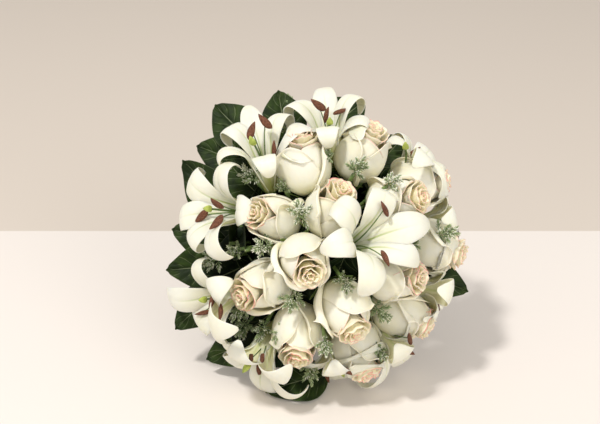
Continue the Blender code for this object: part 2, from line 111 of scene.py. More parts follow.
def heading(lean: float, clock: float) -> Array:
    """The unit direction at this lean from the bouquet's axis and this clock angle, in degrees."""
    a, c = math.radians(lean), math.radians(clock)
    return np.array([math.sin(a) * math.sin(c), math.sin(a) * math.cos(c), math.cos(a)])


def smooth_curve(stations: Array, count: int) -> Array:
    """Points on a smooth curve through some stations.

    Each span is the cubic that leaves its first station and reaches its second along the slopes
    there, and a slope is the one between a station's neighbours.

    Args:
        stations: the points that the curve passes through, one a row.
        count: how many points to return, evenly spaced along the chords.

    Returns:
        The points, one a row.
    """
    chord = np.concatenate([[0.0], np.cumsum(np.linalg.norm(np.diff(stations, axis=0), axis=1))])
    slope = np.gradient(stations, chord, axis=0)
    at = np.linspace(0.0, chord[-1], count)
    span = np.clip(np.searchsorted(chord, at, "right") - 1, 0, len(chord) - 2)
    width = (chord[span + 1] - chord[span])[:, None]
    t = (at - chord[span])[:, None] / width
    return (
        stations[span] * (2 * t**3 - 3 * t**2 + 1)
        + slope[span] * width * (t**3 - 2 * t**2 + t)
        + stations[span + 1] * (3 * t**2 - 2 * t**3)
        + slope[span + 1] * width * (t**3 - t**2)
    )


def edge_distance(grid: Array) -> Array:
    """How far each point of a grid is from its sides and its last row.

    The lengths between neighbours are summed from each side and from the last row, and the least
    of the three sums is kept.

    Args:
        grid: the points, rows along the sheet and columns across.

    Returns:
        The distances, in millimetres.
    """
    down = np.linalg.norm(np.diff(grid, axis=0), axis=2)
    to_tip = np.vstack([np.cumsum(down[::-1], axis=0)[::-1], np.zeros(grid.shape[1])])
    over = np.linalg.norm(np.diff(grid, axis=1), axis=2)
    left = np.hstack([np.zeros((len(grid), 1)), np.cumsum(over, axis=1)])
    return np.minimum(to_tip, np.minimum(left, left[:, -1:] - left))


def grid_faces(rows: int, columns: int, closed: bool = False) -> Array:
    """The four-sided faces of a grid of points.

    Args:
        rows: how many rows it has.
        columns: how many columns it has.
        closed: whether its last column joins its first.

    Returns:
        The faces, four corners a row.
    """
    index = np.arange(rows * columns).reshape(rows, columns)
    if closed:
        index = np.hstack([index, index[:, :1]])
    return np.stack(
        [index[:-1, :-1], index[:-1, 1:], index[1:, 1:], index[1:, :-1]], axis=-1
    ).reshape(-1, 4)


@dataclass(frozen=True)
class Seat:
    """Where something sits in the bouquet: its base, and its own three axes as rows."""

    origin: Array
    axes: Array

    @classmethod
    def along(cls, origin: Sequence[float] | Array, direction: Array) -> "Seat":
        """The seat on a base whose third axis is a direction, by the smallest turn that gives it.

        The turn is one, plus the tilt, plus the tilt's square over one more than the direction's z.

        Args:
            origin: its base.
            direction: its third axis, of length one.

        Returns:
            The seat.
        """
        x, y, z = direction
        tilt = np.array([[0.0, 0.0, x], [0.0, 0.0, y], [-x, -y, 0.0]])
        turn = np.eye(3) + tilt + tilt @ tilt / (1.0 + z)
        return cls(np.asarray(origin, float), turn.T)

    def place(self, points: Array) -> Array:
        """Points of the seat's own frame, in the bouquet's."""
        return self.origin + points @ self.axes

    def local(self, points: Array) -> Array:
        """Points of the bouquet's frame, in the seat's own."""
        return (points - self.origin) @ self.axes.T


@dataclass
class Patchwork:
    """Surfaces gathered into one mesh.

    Each point carries two vectors that the finishes read. Its place is how far across and along
    its petal or leaf it lies, and how far from the edge. Its tone is which face it is on, 0 for
    the upper or inner and 1 for the other, and two shares that each kind of piece gives a meaning.
    """

    points: list[Array] = field(default_factory=list)
    faces: list[Array] = field(default_factory=list)
    places: list[Array] = field(default_factory=list)
    tones: list[Array] = field(default_factory=list)
    slots: list[int] = field(default_factory=list)
    count: int = 0

    def add(self, points: Array, faces: Sequence[Array], place: Array, tone: Array, slot: int) -> None:
        """Adds points with their faces, all of one material.

        Args:
            points: in the bouquet's frame.
            faces: arrays of corners, counted from the first of these points.
            place: each point's place.
            tone: each point's tone.
            slot: the material's place in the piece's list.
        """
        self.points.append(points)
        self.places.append(place)
        self.tones.append(tone)
        for group in faces:
            self.faces.append(group + self.count)
            self.slots += [slot] * len(group)
        self.count += len(points)

    def sheet(
        self,
        grid: Array,
        thickness: Array | float,
        place: tuple[Array, Array],
        tone: tuple[Array | float, Array | float] = (0.0, 0.0),
        slot: int = 0,
    ) -> None:
        """Adds a closed sheet of some thickness with a rounded rim.

        Each face stands half the thickness off the grid along its normal, and the rim between them
        passes half the thickness outside the grid's edge.

        Args:
            grid: the middle of the sheet, rows along it and columns across.
            thickness: in millimetres, at each point or everywhere.
            place: how far across and how far along each point lies.
            tone: the two shares of the tone.
            slot: the material's place in the piece's list.
        """
        rows, columns, _ = grid.shape
        normal = unit(np.cross(np.gradient(grid, axis=1), np.gradient(grid, axis=0)))
        half = 0.5 * np.broadcast_to(thickness, (rows, columns))[..., None] * np.ones(3)
        index = np.arange(rows * columns).reshape(rows, columns)
        loop = np.concatenate([index[0, :-1], index[:-1, -1], index[-1, :0:-1], index[:0:-1, 0]])
        flat, flat_normal, flat_half = (a.reshape(-1, 3) for a in (grid, normal, half))
        edge = flat[loop]
        outward = unit(np.cross(np.roll(edge, -1, axis=0) - np.roll(edge, 1, axis=0), flat_normal[loop]))
        points = np.concatenate([
            flat + flat_normal * flat_half,
            flat - flat_normal * flat_half,
            edge + outward * flat_half[loop],
        ])
        size = rows * columns
        after = np.roll(loop, -1)
        middle = 2 * size + np.arange(len(loop))
        middle_after = np.roll(middle, -1)
        top = grid_faces(rows, columns)
        faces = [
            top,
            top[:, ::-1] + size,
            np.stack([loop + size, after + size, middle_after, middle], axis=1),
            np.stack([middle, middle_after, after, loop], axis=1),
        ]
        across, along = (np.broadcast_to(a, (rows, columns)) for a in place)
        where = np.stack([across, along, edge_distance(grid)], axis=-1).reshape(-1, 3)
        first, second = (np.broadcast_to(a, (rows, columns)).reshape(-1) for a in tone)
        look = np.stack([np.zeros(size), first, second], axis=-1)
        other = look + np.array([1.0, 0.0, 0.0])
        self.add(
            points,
            faces,
            np.concatenate([where, where, where[loop]]),
            np.concatenate([look, other, look[loop]]),
            slot,
        )

    def tube(
        self,
        path: Array,
        radii: Array,
        sides: int,
        tone: tuple[float, float] = (0.0, 0.0),
        slot: int = 0,
    ) -> None:
        """Adds a closed rod along a path.

        Each ring lies square to the path at its radius, and a point closes each end.

        Args:
            path: the rod's middle, one point a row.
            radii: its radius at each point, or at each point and each side.
            sides: how many sides it has.
            tone: the two shares of the tone.
            slot: the material's place in the piece's list.
        """
        along = unit(np.gradient(path, axis=0))
        aside = np.eye(3)[np.argmin(np.abs(along).max(axis=0))]
        first = unit(np.cross(along, aside))
        second = np.cross(along, first)
        turn = np.linspace(0.0, 2.0 * math.pi, sides, endpoint=False)
        ring = np.cos(turn)[:, None] * first[:, None, :] + np.sin(turn)[:, None] * second[:, None, :]
        reach = radii[:, None] if radii.ndim == 1 else radii
        wall = path[:, None, :] + ring * np.broadcast_to(reach, (len(path), sides))[..., None]
        size = len(path) * sides
        low, high = np.arange(sides), np.arange(size - sides, size)
        faces = [
            grid_faces(len(path), sides, closed=True),
            np.stack([np.full(sides, size), np.roll(low, -1), low], axis=1),
            np.stack([np.full(sides, size + 1), high, np.roll(high, -1)], axis=1),
        ]
        share = np.linspace(0.0, 1.0, len(path))
        where = np.stack([
            np.concatenate([np.tile(turn, len(path)), [0.0, 0.0]]),
            np.concatenate([np.repeat(share, sides), [0.0, 1.0]]),
            np.concatenate([np.ones(size), [0.0, 0.0]]),
        ], axis=1)
        look = np.tile([0.0, *tone], (size + 2, 1))
        self.add(np.concatenate([wall.reshape(-1, 3), path[[0, -1]]]), faces, where, look, slot)

    def piece(self, name: str, finishes: Sequence[bpy.types.Material]) -> bpy.types.Object:
        """Makes the mesh an object in the scene.

        Args:
            name: the object's name.
            finishes: its materials, in the order of the slots.

        Returns:
            The object, at the origin, with its place in its mesh.
        """
        mesh = bpy.data.meshes.new(name)
        corners = [face for group in self.faces for face in group.tolist()]
        mesh.from_pydata(to_world(np.concatenate(self.points)).tolist(), [], corners)
        for material in finishes:
            mesh.materials.append(material)
        mesh.polygons.foreach_set("material_index", np.array(self.slots, np.int32))
        for label, parts in (("place", self.places), ("tone", self.tones)):
            data = mesh.attributes.new(label, "FLOAT_VECTOR", "POINT").data
            data.foreach_set("vector", np.concatenate(parts).astype(np.float32).ravel())
        mesh.shade_smooth()
        mesh.update()
        made = bpy.data.objects.new(name, mesh)
        bpy.context.scene.collection.objects.link(made)
        log.info("%s: %d points, %d faces", name, len(mesh.vertices), len(mesh.polygons))
        return made


# Materials


class Value:
    """A number that varies over a surface: a socket with Python's arithmetic."""

    def __init__(self, tree: "Tree", socket: bpy.types.NodeSocket) -> None:
        """Wraps one output socket of a tree."""
        self.tree = tree
        self.socket = socket

    def _math(self, operation: str, first: "Value | float", second: "Value | float") -> "Value":
        """A Math node of two numbers."""
        made = self.tree.node("ShaderNodeMath", {"operation": operation}, {0: first, 1: second})
        return Value(self.tree, made.outputs[0])

    def __add__(self, other: "Value | float") -> "Value":
        """This plus another."""
        return self._math("ADD", self, other)

    __radd__ = __add__

    def __sub__(self, other: "Value | float") -> "Value":
        """This less another."""
        return self._math("SUBTRACT", self, other)

    def __rsub__(self, other: float) -> "Value":
        """A number less this."""
        return self._math("SUBTRACT", other, self)

    def __mul__(self, other: "Value | float") -> "Value":
        """This times another."""
        return self._math("MULTIPLY", self, other)

    __rmul__ = __mul__

    def __truediv__(self, other: "Value | float") -> "Value":
        """This over another."""
        return self._math("DIVIDE", self, other)

    def __pow__(self, other: float) -> "Value":
        """This to a power."""
        return self._math("POWER", self, other)

    def __abs__(self) -> "Value":
        """This without its sign."""
        return self._math("ABSOLUTE", self, 0.0)

    def fraction(self) -> "Value":
        """What is left of this after its whole number."""
        return self._math("FRACT", self, 0.0)

    def rise(self, low: float, high: float) -> "Value":
        """A smooth step from 0 to 1 as this goes from low to high.

        Args:
            low: where it is 0.
            high: where it is 1, which may be the smaller of the two.

        Returns:
            The step.
        """
        ends = (low, high, 0.0, 1.0) if low < high else (high, low, 1.0, 0.0)
        inputs = dict(zip(("From Min", "From Max", "To Min", "To Max"), ends))
        made = self.tree.node(
            "ShaderNodeMapRange", {"interpolation_type": "SMOOTHSTEP"}, {"Value": self, **inputs}
        )
        return Value(self.tree, made.outputs[0])


class Tree:
    """The node tree of one material, with a way to add each kind of node that the finishes use."""

    def __init__(self, name: str) -> None:
        """Starts a material with an empty Principled shader.

        Args:
            name: the material's name.
        """
        self.material = bpy.data.materials.new(name)
        self.material.use_nodes = True
        self.nodes = self.material.node_tree.nodes
        self.links = self.material.node_tree.links
        self.shader = self.nodes["Principled BSDF"]

    def node(self, kind: str, settings: dict[str, object], inputs: dict[str | int, object]) -> bpy.types.Node:
        """Adds a node.

        Args:
            kind: its type.
            settings: its own settings, such as a Math node's operation.
            inputs: a value, or something to link, for each socket by name or place.

        Returns:
            The node.
        """
        made = self.nodes.new(kind)
        for key, value in settings.items():
            setattr(made, key, value)
        for key, value in inputs.items():
            self.feed(made.inputs[key], value)
        return made

    def feed(self, socket: bpy.types.NodeSocket, value: object) -> None:
        """Sets an input socket, or links it.

        Args:
            socket: the input.
            value: what it links to, or else what it is set to.
        """
        if isinstance(value, Value):
            self.links.new(value.socket, socket)
        elif isinstance(value, bpy.types.NodeSocket):
            self.links.new(value, socket)
        elif isinstance(value, tuple) and len(value) == 3 and socket.type == "RGBA":
            socket.default_value = (*value, 1.0)
        else:
            socket.default_value = value

    def vector(self, name: str) -> tuple[Value, Value, Value]:
        """The three numbers of a vector that the mesh carries at each point.

        Args:
            name: the vector's name.

        Returns:
            The numbers.
        """
        read = self.node("ShaderNodeAttribute", {"attribute_name": name}, {})
        parts = self.node("ShaderNodeSeparateXYZ", {}, {0: read.outputs["Vector"]})
        return tuple(Value(self, socket) for socket in parts.outputs)

    def noise(self, scale: float, detail: float = 2.0, vector: bpy.types.NodeSocket | None = None) -> Value:
        """Soft noise from 0 to 1.

        Args:
            scale: how many features it has to a metre, or to one unit of the vector.
            detail: how many finer layers it has.
            vector: where it is read, which is Object coordinates unless given.

        Returns:
            The noise.
        """
        where = vector or self.node("ShaderNodeTexCoord", {}, {}).outputs["Object"]
        made = self.node("ShaderNodeTexNoise", {}, {"Vector": where, "Scale": scale, "Detail": detail})
        return Value(self, made.outputs[0])

    def combine(self, x: Value, y: Value, z: Value | float) -> bpy.types.NodeSocket:
        """A vector of three numbers."""
        return self.node("ShaderNodeCombineXYZ", {}, {0: x, 1: y, 2: z}).outputs[0]

    def mix(self, share: Value | float, first: object, second: object) -> bpy.types.NodeSocket:
        """A colour that is the first where the share is 0 and the second where it is 1."""
        made = self.node("ShaderNodeMix", {"data_type": "RGBA"}, {0: share, 6: first, 7: second})
        return made.outputs[2]

    def bump(self, height: Value, depth: float) -> bpy.types.NodeSocket:
        """A normal from a height from 0 to 1 that stands for this many millimetres."""
        made = self.node("ShaderNodeBump", {}, {"Height": height, "Distance": depth * MM})
        return made.outputs["Normal"]

    def finish(
        self,
        colour: object,
        roughness: Value | float,
        normal: bpy.types.NodeSocket | None = None,
        constants: dict[str, object] | None = None,
    ) -> bpy.types.Material:
        """Feeds the shader.

        Args:
            colour: the base colour.
            roughness: the roughness.
            normal: the bumped normal, if it has one.
            constants: what is the same all over, by the shader's socket names.

        Returns:
            The material.
        """
        self.feed(self.shader.inputs["Base Color"], colour)
        self.feed(self.shader.inputs["Roughness"], roughness)
        if normal is not None:
            self.links.new(normal, self.shader.inputs["Normal"])
        for key, value in (constants or {}).items():
            self.shader.inputs[key].default_value = value
        return self.material


SOFT = {
    "Subsurface Weight": 0.4,
    "Subsurface Radius": (1.0, 0.85, 0.6),
    "Subsurface Scale": 0.004,
    "Specular IOR Level": 0.32,
}


@dataclass(frozen=True)
class RosePetalFinish:
    """Cream petal, green towards its foot, honey inside the mouth, with a pink edge."""

    cream: Colour = (0.90, 0.865, 0.715)
    warm: Colour = (0.90, 0.85, 0.64)
    foot: Colour = (0.66, 0.65, 0.33)
    honey: Colour = (0.98, 0.87, 0.50)
    pink: Colour = (0.80, 0.27, 0.25)
    rose: Colour = (0.92, 0.68, 0.60)

    def material(self) -> bpy.types.Material:
        """The finish as a material.

        The tone's shares are how pink the edge is and how deep in the mouth the petal lies.

        Returns:
            The material.
        """
        tree = Tree("rose_petal")
        _, along, rim = tree.vector("place")
        _, blush, depth = tree.vector("tone")
        cloud = tree.noise(45.0, 3.0)
        colour = tree.mix(cloud.rise(0.35, 0.7), self.cream, self.warm)
        colour = tree.mix(along.rise(0.62, 0.05) * 0.6, colour, self.foot)
        colour = tree.mix(depth * (0.55 + 0.45 * cloud), colour, self.honey)
        patch = tree.noise(170.0, 3.0)
        near = blush * patch.rise(0.42, 0.62)
        colour = tree.mix(near * rim.rise(3.0, 0.2) * 0.30, colour, self.rose)
        edge = blush * patch.rise(0.3, 0.55) * (rim / (patch + 0.1)).rise(1.0, 0.25)
        colour = tree.mix(edge, colour, self.pink)
        grain = tree.noise(900.0, 3.0)
        height = grain * 0.35 + tree.noise(160.0, 2.0) * 0.65
        return tree.finish(colour, 0.42 + 0.16 * cloud, tree.bump(height, 0.35), SOFT)


@dataclass(frozen=True)
class LilyPetalFinish:
    """White petal with a green midrib, a green throat, and an olive back."""

    white: Colour = (0.825, 0.815, 0.70)
    milk: Colour = (0.83, 0.81, 0.64)
    rib: Colour = (0.37, 0.48, 0.10)
    throat: Colour = (0.36, 0.44, 0.12)
    back: Colour = (0.60, 0.60, 0.36)
    foot: Colour = (0.36, 0.36, 0.12)

    def material(self) -> bpy.types.Material:
        """The finish as a material.

        The place's across is in millimetres from the midrib.

        Returns:
            The material.
        """
        tree = Tree("lily_petal")
        across, along, rim = tree.vector("place")
        side, _, _ = tree.vector("tone")
        cloud = tree.noise(40.0, 3.0)
        colour = tree.mix(cloud.rise(0.3, 0.75), self.white, self.milk)
        behind = side * (0.45 + 0.55 * along.rise(0.95, 0.2)) * rim.rise(0.0, 2.0)
        colour = tree.mix(behind * 0.85, colour, self.back)
        away = abs(across)
        fade = along.rise(0.82, 0.2) * (1.0 - side * 0.4)
        centre = (away / (2.3 - along * 1.3)).rise(1.0, 0.1)
        lines = (abs(away - 3.8) / 0.9).rise(1.0, 0.1) * along.rise(0.62, 0.15) * 0.4
        colour = tree.mix((centre * 0.9 + lines) * fade, colour, self.rib)
        colour = tree.mix(along.rise(0.3, 0.02) * away.rise(9.0, 1.0) * 0.75, colour, self.throat)
        colour = tree.mix(side * along.rise(0.34, 0.02) * 0.8, colour, self.foot)
        strands = tree.noise(1.0, 1.0, tree.combine(across * 1.6, along * 3.0, 0.0))
        height = strands * 0.6 + tree.noise(700.0, 2.0) * 0.4
        return tree.finish(colour, 0.40 + 0.15 * cloud, tree.bump(height, 0.3), SOFT)


VEINS, VEIN_SLANT, VEIN_BOW = 6.5, 1.9, 0.8  # a leaf's veins a side, their slant, and their bow


@dataclass(frozen=True)
class LeafFinish:
    """Waxy leaf with a pale midrib and side veins."""

    name: str
    deep: Colour
    lit: Colour
    vein: Colour = (0.19, 0.22, 0.12)
    under: Colour = (0.085, 0.13, 0.04)
    roughness: float = 0.5

    def material(self) -> bpy.types.Material:
        """The finish as a material.

        The place's across runs from -1 to 1.

        Returns:
            The material.
        """
        tree = Tree(self.name)
        across, along, rim = tree.vector("place")
        side, shade, _ = tree.vector("tone")
        cloud = tree.noise(70.0, 4.0)
        away = abs(across)
        colour = tree.mix(cloud.rise(0.35, 0.7) * (0.3 + 0.7 * shade), self.deep, self.lit)
        colour = tree.mix(side * 0.8, colour, self.under)
        phase = along * VEINS - away**VEIN_BOW * VEIN_SLANT + cloud * 0.5
        line = (abs(phase.fraction() - 0.5) * (1.0 - away * 0.3)).rise(0.045, 0.01)
        midrib = away.rise(0.035, 0.01)
        veins = line * away.rise(1.0, 0.7) * cloud.rise(0.35, 0.6) * 0.6
        colour = tree.mix(veins * (1.0 - side * 0.5), colour, self.vein)
        colour = tree.mix(midrib * 0.85, colour, self.vein)
        colour = tree.mix(rim.rise(0.6, 0.1) * 0.25, colour, self.vein)
        swell = (abs(phase.fraction() - 0.5)).rise(0.0, 0.35)
        height = swell * 0.7 + tree.noise(500.0, 3.0) * 0.3
        gloss = self.roughness + 0.16 * cloud + side * 0.2
        return tree.finish(colour, gloss, tree.bump(height, 0.5), {"Specular IOR Level": 0.16})


@dataclass(frozen=True)
class NeedleFinish:
    """Sage needle, darker at its foot, and frosted where its tone says so."""

    foot: Colour = (0.10, 0.18, 0.05)
    sage: Colour = (0.44, 0.52, 0.28)
    frost: Colour = (0.90, 0.90, 0.76)

    def material(self) -> bpy.types.Material:
        """The finish as a material.

        The tone's shares are the frost and how light the needle is.

        Returns:
            The material.
        """
        tree = Tree("needle")
        _, along, _ = tree.vector("place")
        _, frost, shade = tree.vector("tone")
        colour = tree.mix(along.rise(0.0, 0.6) * (0.5 + 0.5 * shade), self.foot, self.sage)
        colour = tree.mix(frost * along.rise(0.1, 0.8), colour, self.frost)
        grain = tree.noise(1500.0, 2.0)
        return tree.finish(colour, 0.5 + 0.2 * grain, tree.bump(grain, 0.1), {"Subsurface Weight": 0.05})


@dataclass(frozen=True)
class StrandFinish:
    """A plain organic finish with some mottle: stem, sepal, filament, anther or stigma."""

    name: str
    dark: Colour
    light: Colour
    scale: float
    roughness: float
    relief: float
    cut: Colour | None = None

    def material(self) -> bpy.types.Material:
        """The finish as a material, paler where the third part of the place falls to 0, at a cut.

        Returns:
            The material.
        """
        tree = Tree(self.name)
        _, _, rim = tree.vector("place")
        mottle = tree.noise(self.scale, 3.0)
        colour = tree.mix(mottle.rise(0.3, 0.7), self.dark, self.light)
        if self.cut:
            colour = tree.mix(rim.rise(0.9, 0.3), colour, self.cut)
        fine = tree.noise(self.scale * 4.0, 3.0)
        normal = tree.bump(mottle * 0.5 + fine * 0.5, self.relief)
        return tree.finish(colour, self.roughness + 0.15 * fine, normal)


@dataclass(frozen=True)
class BandFinish:
    """A wound band: fine threads across it and soft creases where it is pulled tight."""

    name: str
    light: Colour
    # light and dark: the colour on the ridges and in the hollows of the creases, painted shade.
    dark: Colour
    roughness: float
    threads: float
    crease: float
    sheen: float = 0.0

    def material(self) -> bpy.types.Material:
        """The finish as a material.

        The place is how far round the stems, in millimetres, and how far across the band's width.

        Returns:
            The material.
        """
        tree = Tree(self.name)
        across, along, _ = tree.vector("place")
        crease_and_painted_shade = tree.noise(1.0, 3.0, tree.combine(across * 0.05, along * 0.45, 0.0))
        weave = (along * self.threads).fraction()
        thread = abs(weave - 0.5) * 2.0
        # Painted shade: darker where the creases sink, lighter on their ridges.
        colour = tree.mix(crease_and_painted_shade.rise(0.35, 0.65), self.dark, self.light)
        height = crease_and_painted_shade * 0.85 + thread * 0.15
        constants = {"Sheen Weight": self.sheen, "Sheen Roughness": 0.3}
        return tree.finish(colour, self.roughness + 0.12 * crease_and_painted_shade, tree.bump(height, self.crease), constants)


@dataclass(frozen=True)
class PearlFinish:
    """A pearl head with a clear coat."""

    light: Colour = (0.92, 0.89, 0.82)
    dark: Colour = (0.86, 0.80, 0.76)

    def material(self) -> bpy.types.Material:
        """The finish as a material.

        Returns:
            The material.
        """
        tree = Tree("pearl")
        cloud = tree.noise(350.0, 2.0)
        colour = tree.mix(cloud, self.light, self.dark)
        return tree.finish(colour, 0.18 + 0.08 * cloud, None, {"Coat Weight": 0.6, "Coat Roughness": 0.1})


@dataclass(frozen=True)
class SteelFinish:
    """The drawn wire of a pin."""

    colour: Colour = (0.62, 0.61, 0.59)

    def material(self) -> bpy.types.Material:
        """The finish as a material.

        Returns:
            The material.
        """
        tree = Tree("pin_steel")
        draw = tree.noise(900.0, 2.0)
        return tree.finish(self.colour, 0.25 + 0.15 * draw, None, {"Metallic": 1.0})


@dataclass(frozen=True)
class TableFinish:
    """A pale table top that gives way to a warmer grey behind the bouquet."""

    table: Colour = (0.82, 0.765, 0.72)
    beyond: Colour = (0.67, 0.60, 0.53)
    far_edge: float = 0.2405

    def material(self) -> bpy.types.Material:
        """The finish as a material, split at the table's far edge.

        Returns:
            The material.
        """
        tree = Tree("table_top")
        where = tree.node("ShaderNodeTexCoord", {}, {}).outputs["Object"]
        parts = tree.node("ShaderNodeSeparateXYZ", {}, {0: where})
        depth = Value(tree, parts.outputs[1])
        colour = tree.mix(depth.rise(self.far_edge, self.far_edge + 0.003), self.table, self.beyond)
        return tree.finish(colour, 0.6, None, {"Specular IOR Level": 0.2})


class Finishes:
    """Every material of the bouquet, made once."""

    def __init__(self) -> None:
        """Makes the materials."""
        self.rose = RosePetalFinish().material()
        self.lily = LilyPetalFinish().material()
        self.leaf = LeafFinish("leaf", (0.010, 0.021, 0.004), (0.036, 0.066, 0.010)).material()
        # The leaves deep in the bunch get a darker copy of the leaf finish: painted shade.
        self.painted_shade_leaf = LeafFinish(
            "painted_shade_leaf", (0.004, 0.010, 0.003), (0.012, 0.028, 0.007)
        ).material()
        self.needle = NeedleFinish().material()
        self.sepal = StrandFinish(
            "sepal", (0.10, 0.17, 0.04), (0.20, 0.28, 0.08), 180.0, 0.5, 0.3
        ).material()
        self.stem = StrandFinish(
            "stem", (0.10, 0.17, 0.045), (0.20, 0.29, 0.09), 120.0, 0.45, 0.4, (0.55, 0.58, 0.30)
        ).material()
        self.filament = StrandFinish(
            "filament", (0.07, 0.12, 0.03), (0.13, 0.20, 0.05), 400.0, 0.5, 0.1
        ).material()
        self.anther = StrandFinish(
            "anther", (0.075, 0.022, 0.010), (0.20, 0.075, 0.035), 900.0, 0.75, 0.4
        ).material()
        self.stigma = StrandFinish(
            "stigma", (0.33, 0.42, 0.07), (0.50, 0.57, 0.13), 300.0, 0.4, 0.2
        ).material()
        # The satin's and the tape's second colour is the painted shade in their creases.
        self.satin = BandFinish(
            "satin", (0.88, 0.85, 0.76), (0.78, 0.74, 0.64), 0.26, 1.6, 0.5, 0.4
        ).material()
        self.tape = BandFinish("tape", (0.11, 0.20, 0.07), (0.07, 0.13, 0.045), 0.6, 1.1, 0.5).material()
        self.pearl = PearlFinish().material()
        self.steel = SteelFinish().material()


# The flowers' places, as the solids have them

ROSE_LENGTH = 62.0
ROSE_OUTLINE = np.array([
    (0.0, 0.0), (5.0, 0.0), (15.0, 6.0), (24.0, 16.0), (26.5, 28.0), (23.0, 45.0), (18.5, 54.0), (13.5, 62.0)
])
WRAP_START = 4.0  # how far up that outline the petals and sepals begin, in millimetres
SEPAL_LENGTH = 22.0
FOLD_FROM = 0.45  # where across a big petal its columns lie closer, for the edge that rolls back


@dataclass(frozen=True)
class Wrap:
    """One big petal that wraps a bud.

    Args:
        clock: the way that its middle faces, in degrees round the bud's axis.
        reach: how far up the bud's outline it goes, as a share.
        spread: half its greatest width, in degrees.
        narrow: its width at the top, against its greatest.
        under: how deep its over edge lies, in millimetres.
        tuck: how much deeper its tucked edge lies.
        roll: how much of its top rolls out, in millimetres.
        curl: how far the top rolls, in degrees.
        fold: how wide a strip of its over edge rolls back, in millimetres.
        blush: how pink its edge is.
    """

    clock: float
    reach: float
    spread: float
    narrow: float
    under: float
    tuck: float
    roll: float
    curl: float
    fold: float
    blush: float


@dataclass(frozen=True)
class Ruffles:
    """One ring of small petals in a bud's mouth.

    Args:
        radius: at the rim, in millimetres.
        count: how many petals are in the ring.
        depth: how far down they are rooted.
        height: how far the rim stands above the bud's lip.
        wave: how far the rim waves in and out.
        flare: how far the rim leans out.
    """

    radius: float
    count: int
    depth: float
    height: float
    wave: float
    flare: float


RUFFLES = (
    Ruffles(13.2, 3, 20.0, -2.0, 1.2, 2.4),
    Ruffles(9.6, 3, 18.0, 1.6, 1.6, 1.7),
    Ruffles(5.9, 3, 17.0, 3.0, 1.3, 1.1),
    Ruffles(2.6, 2, 14.0, 2.8, 0.6, 0.5),
)


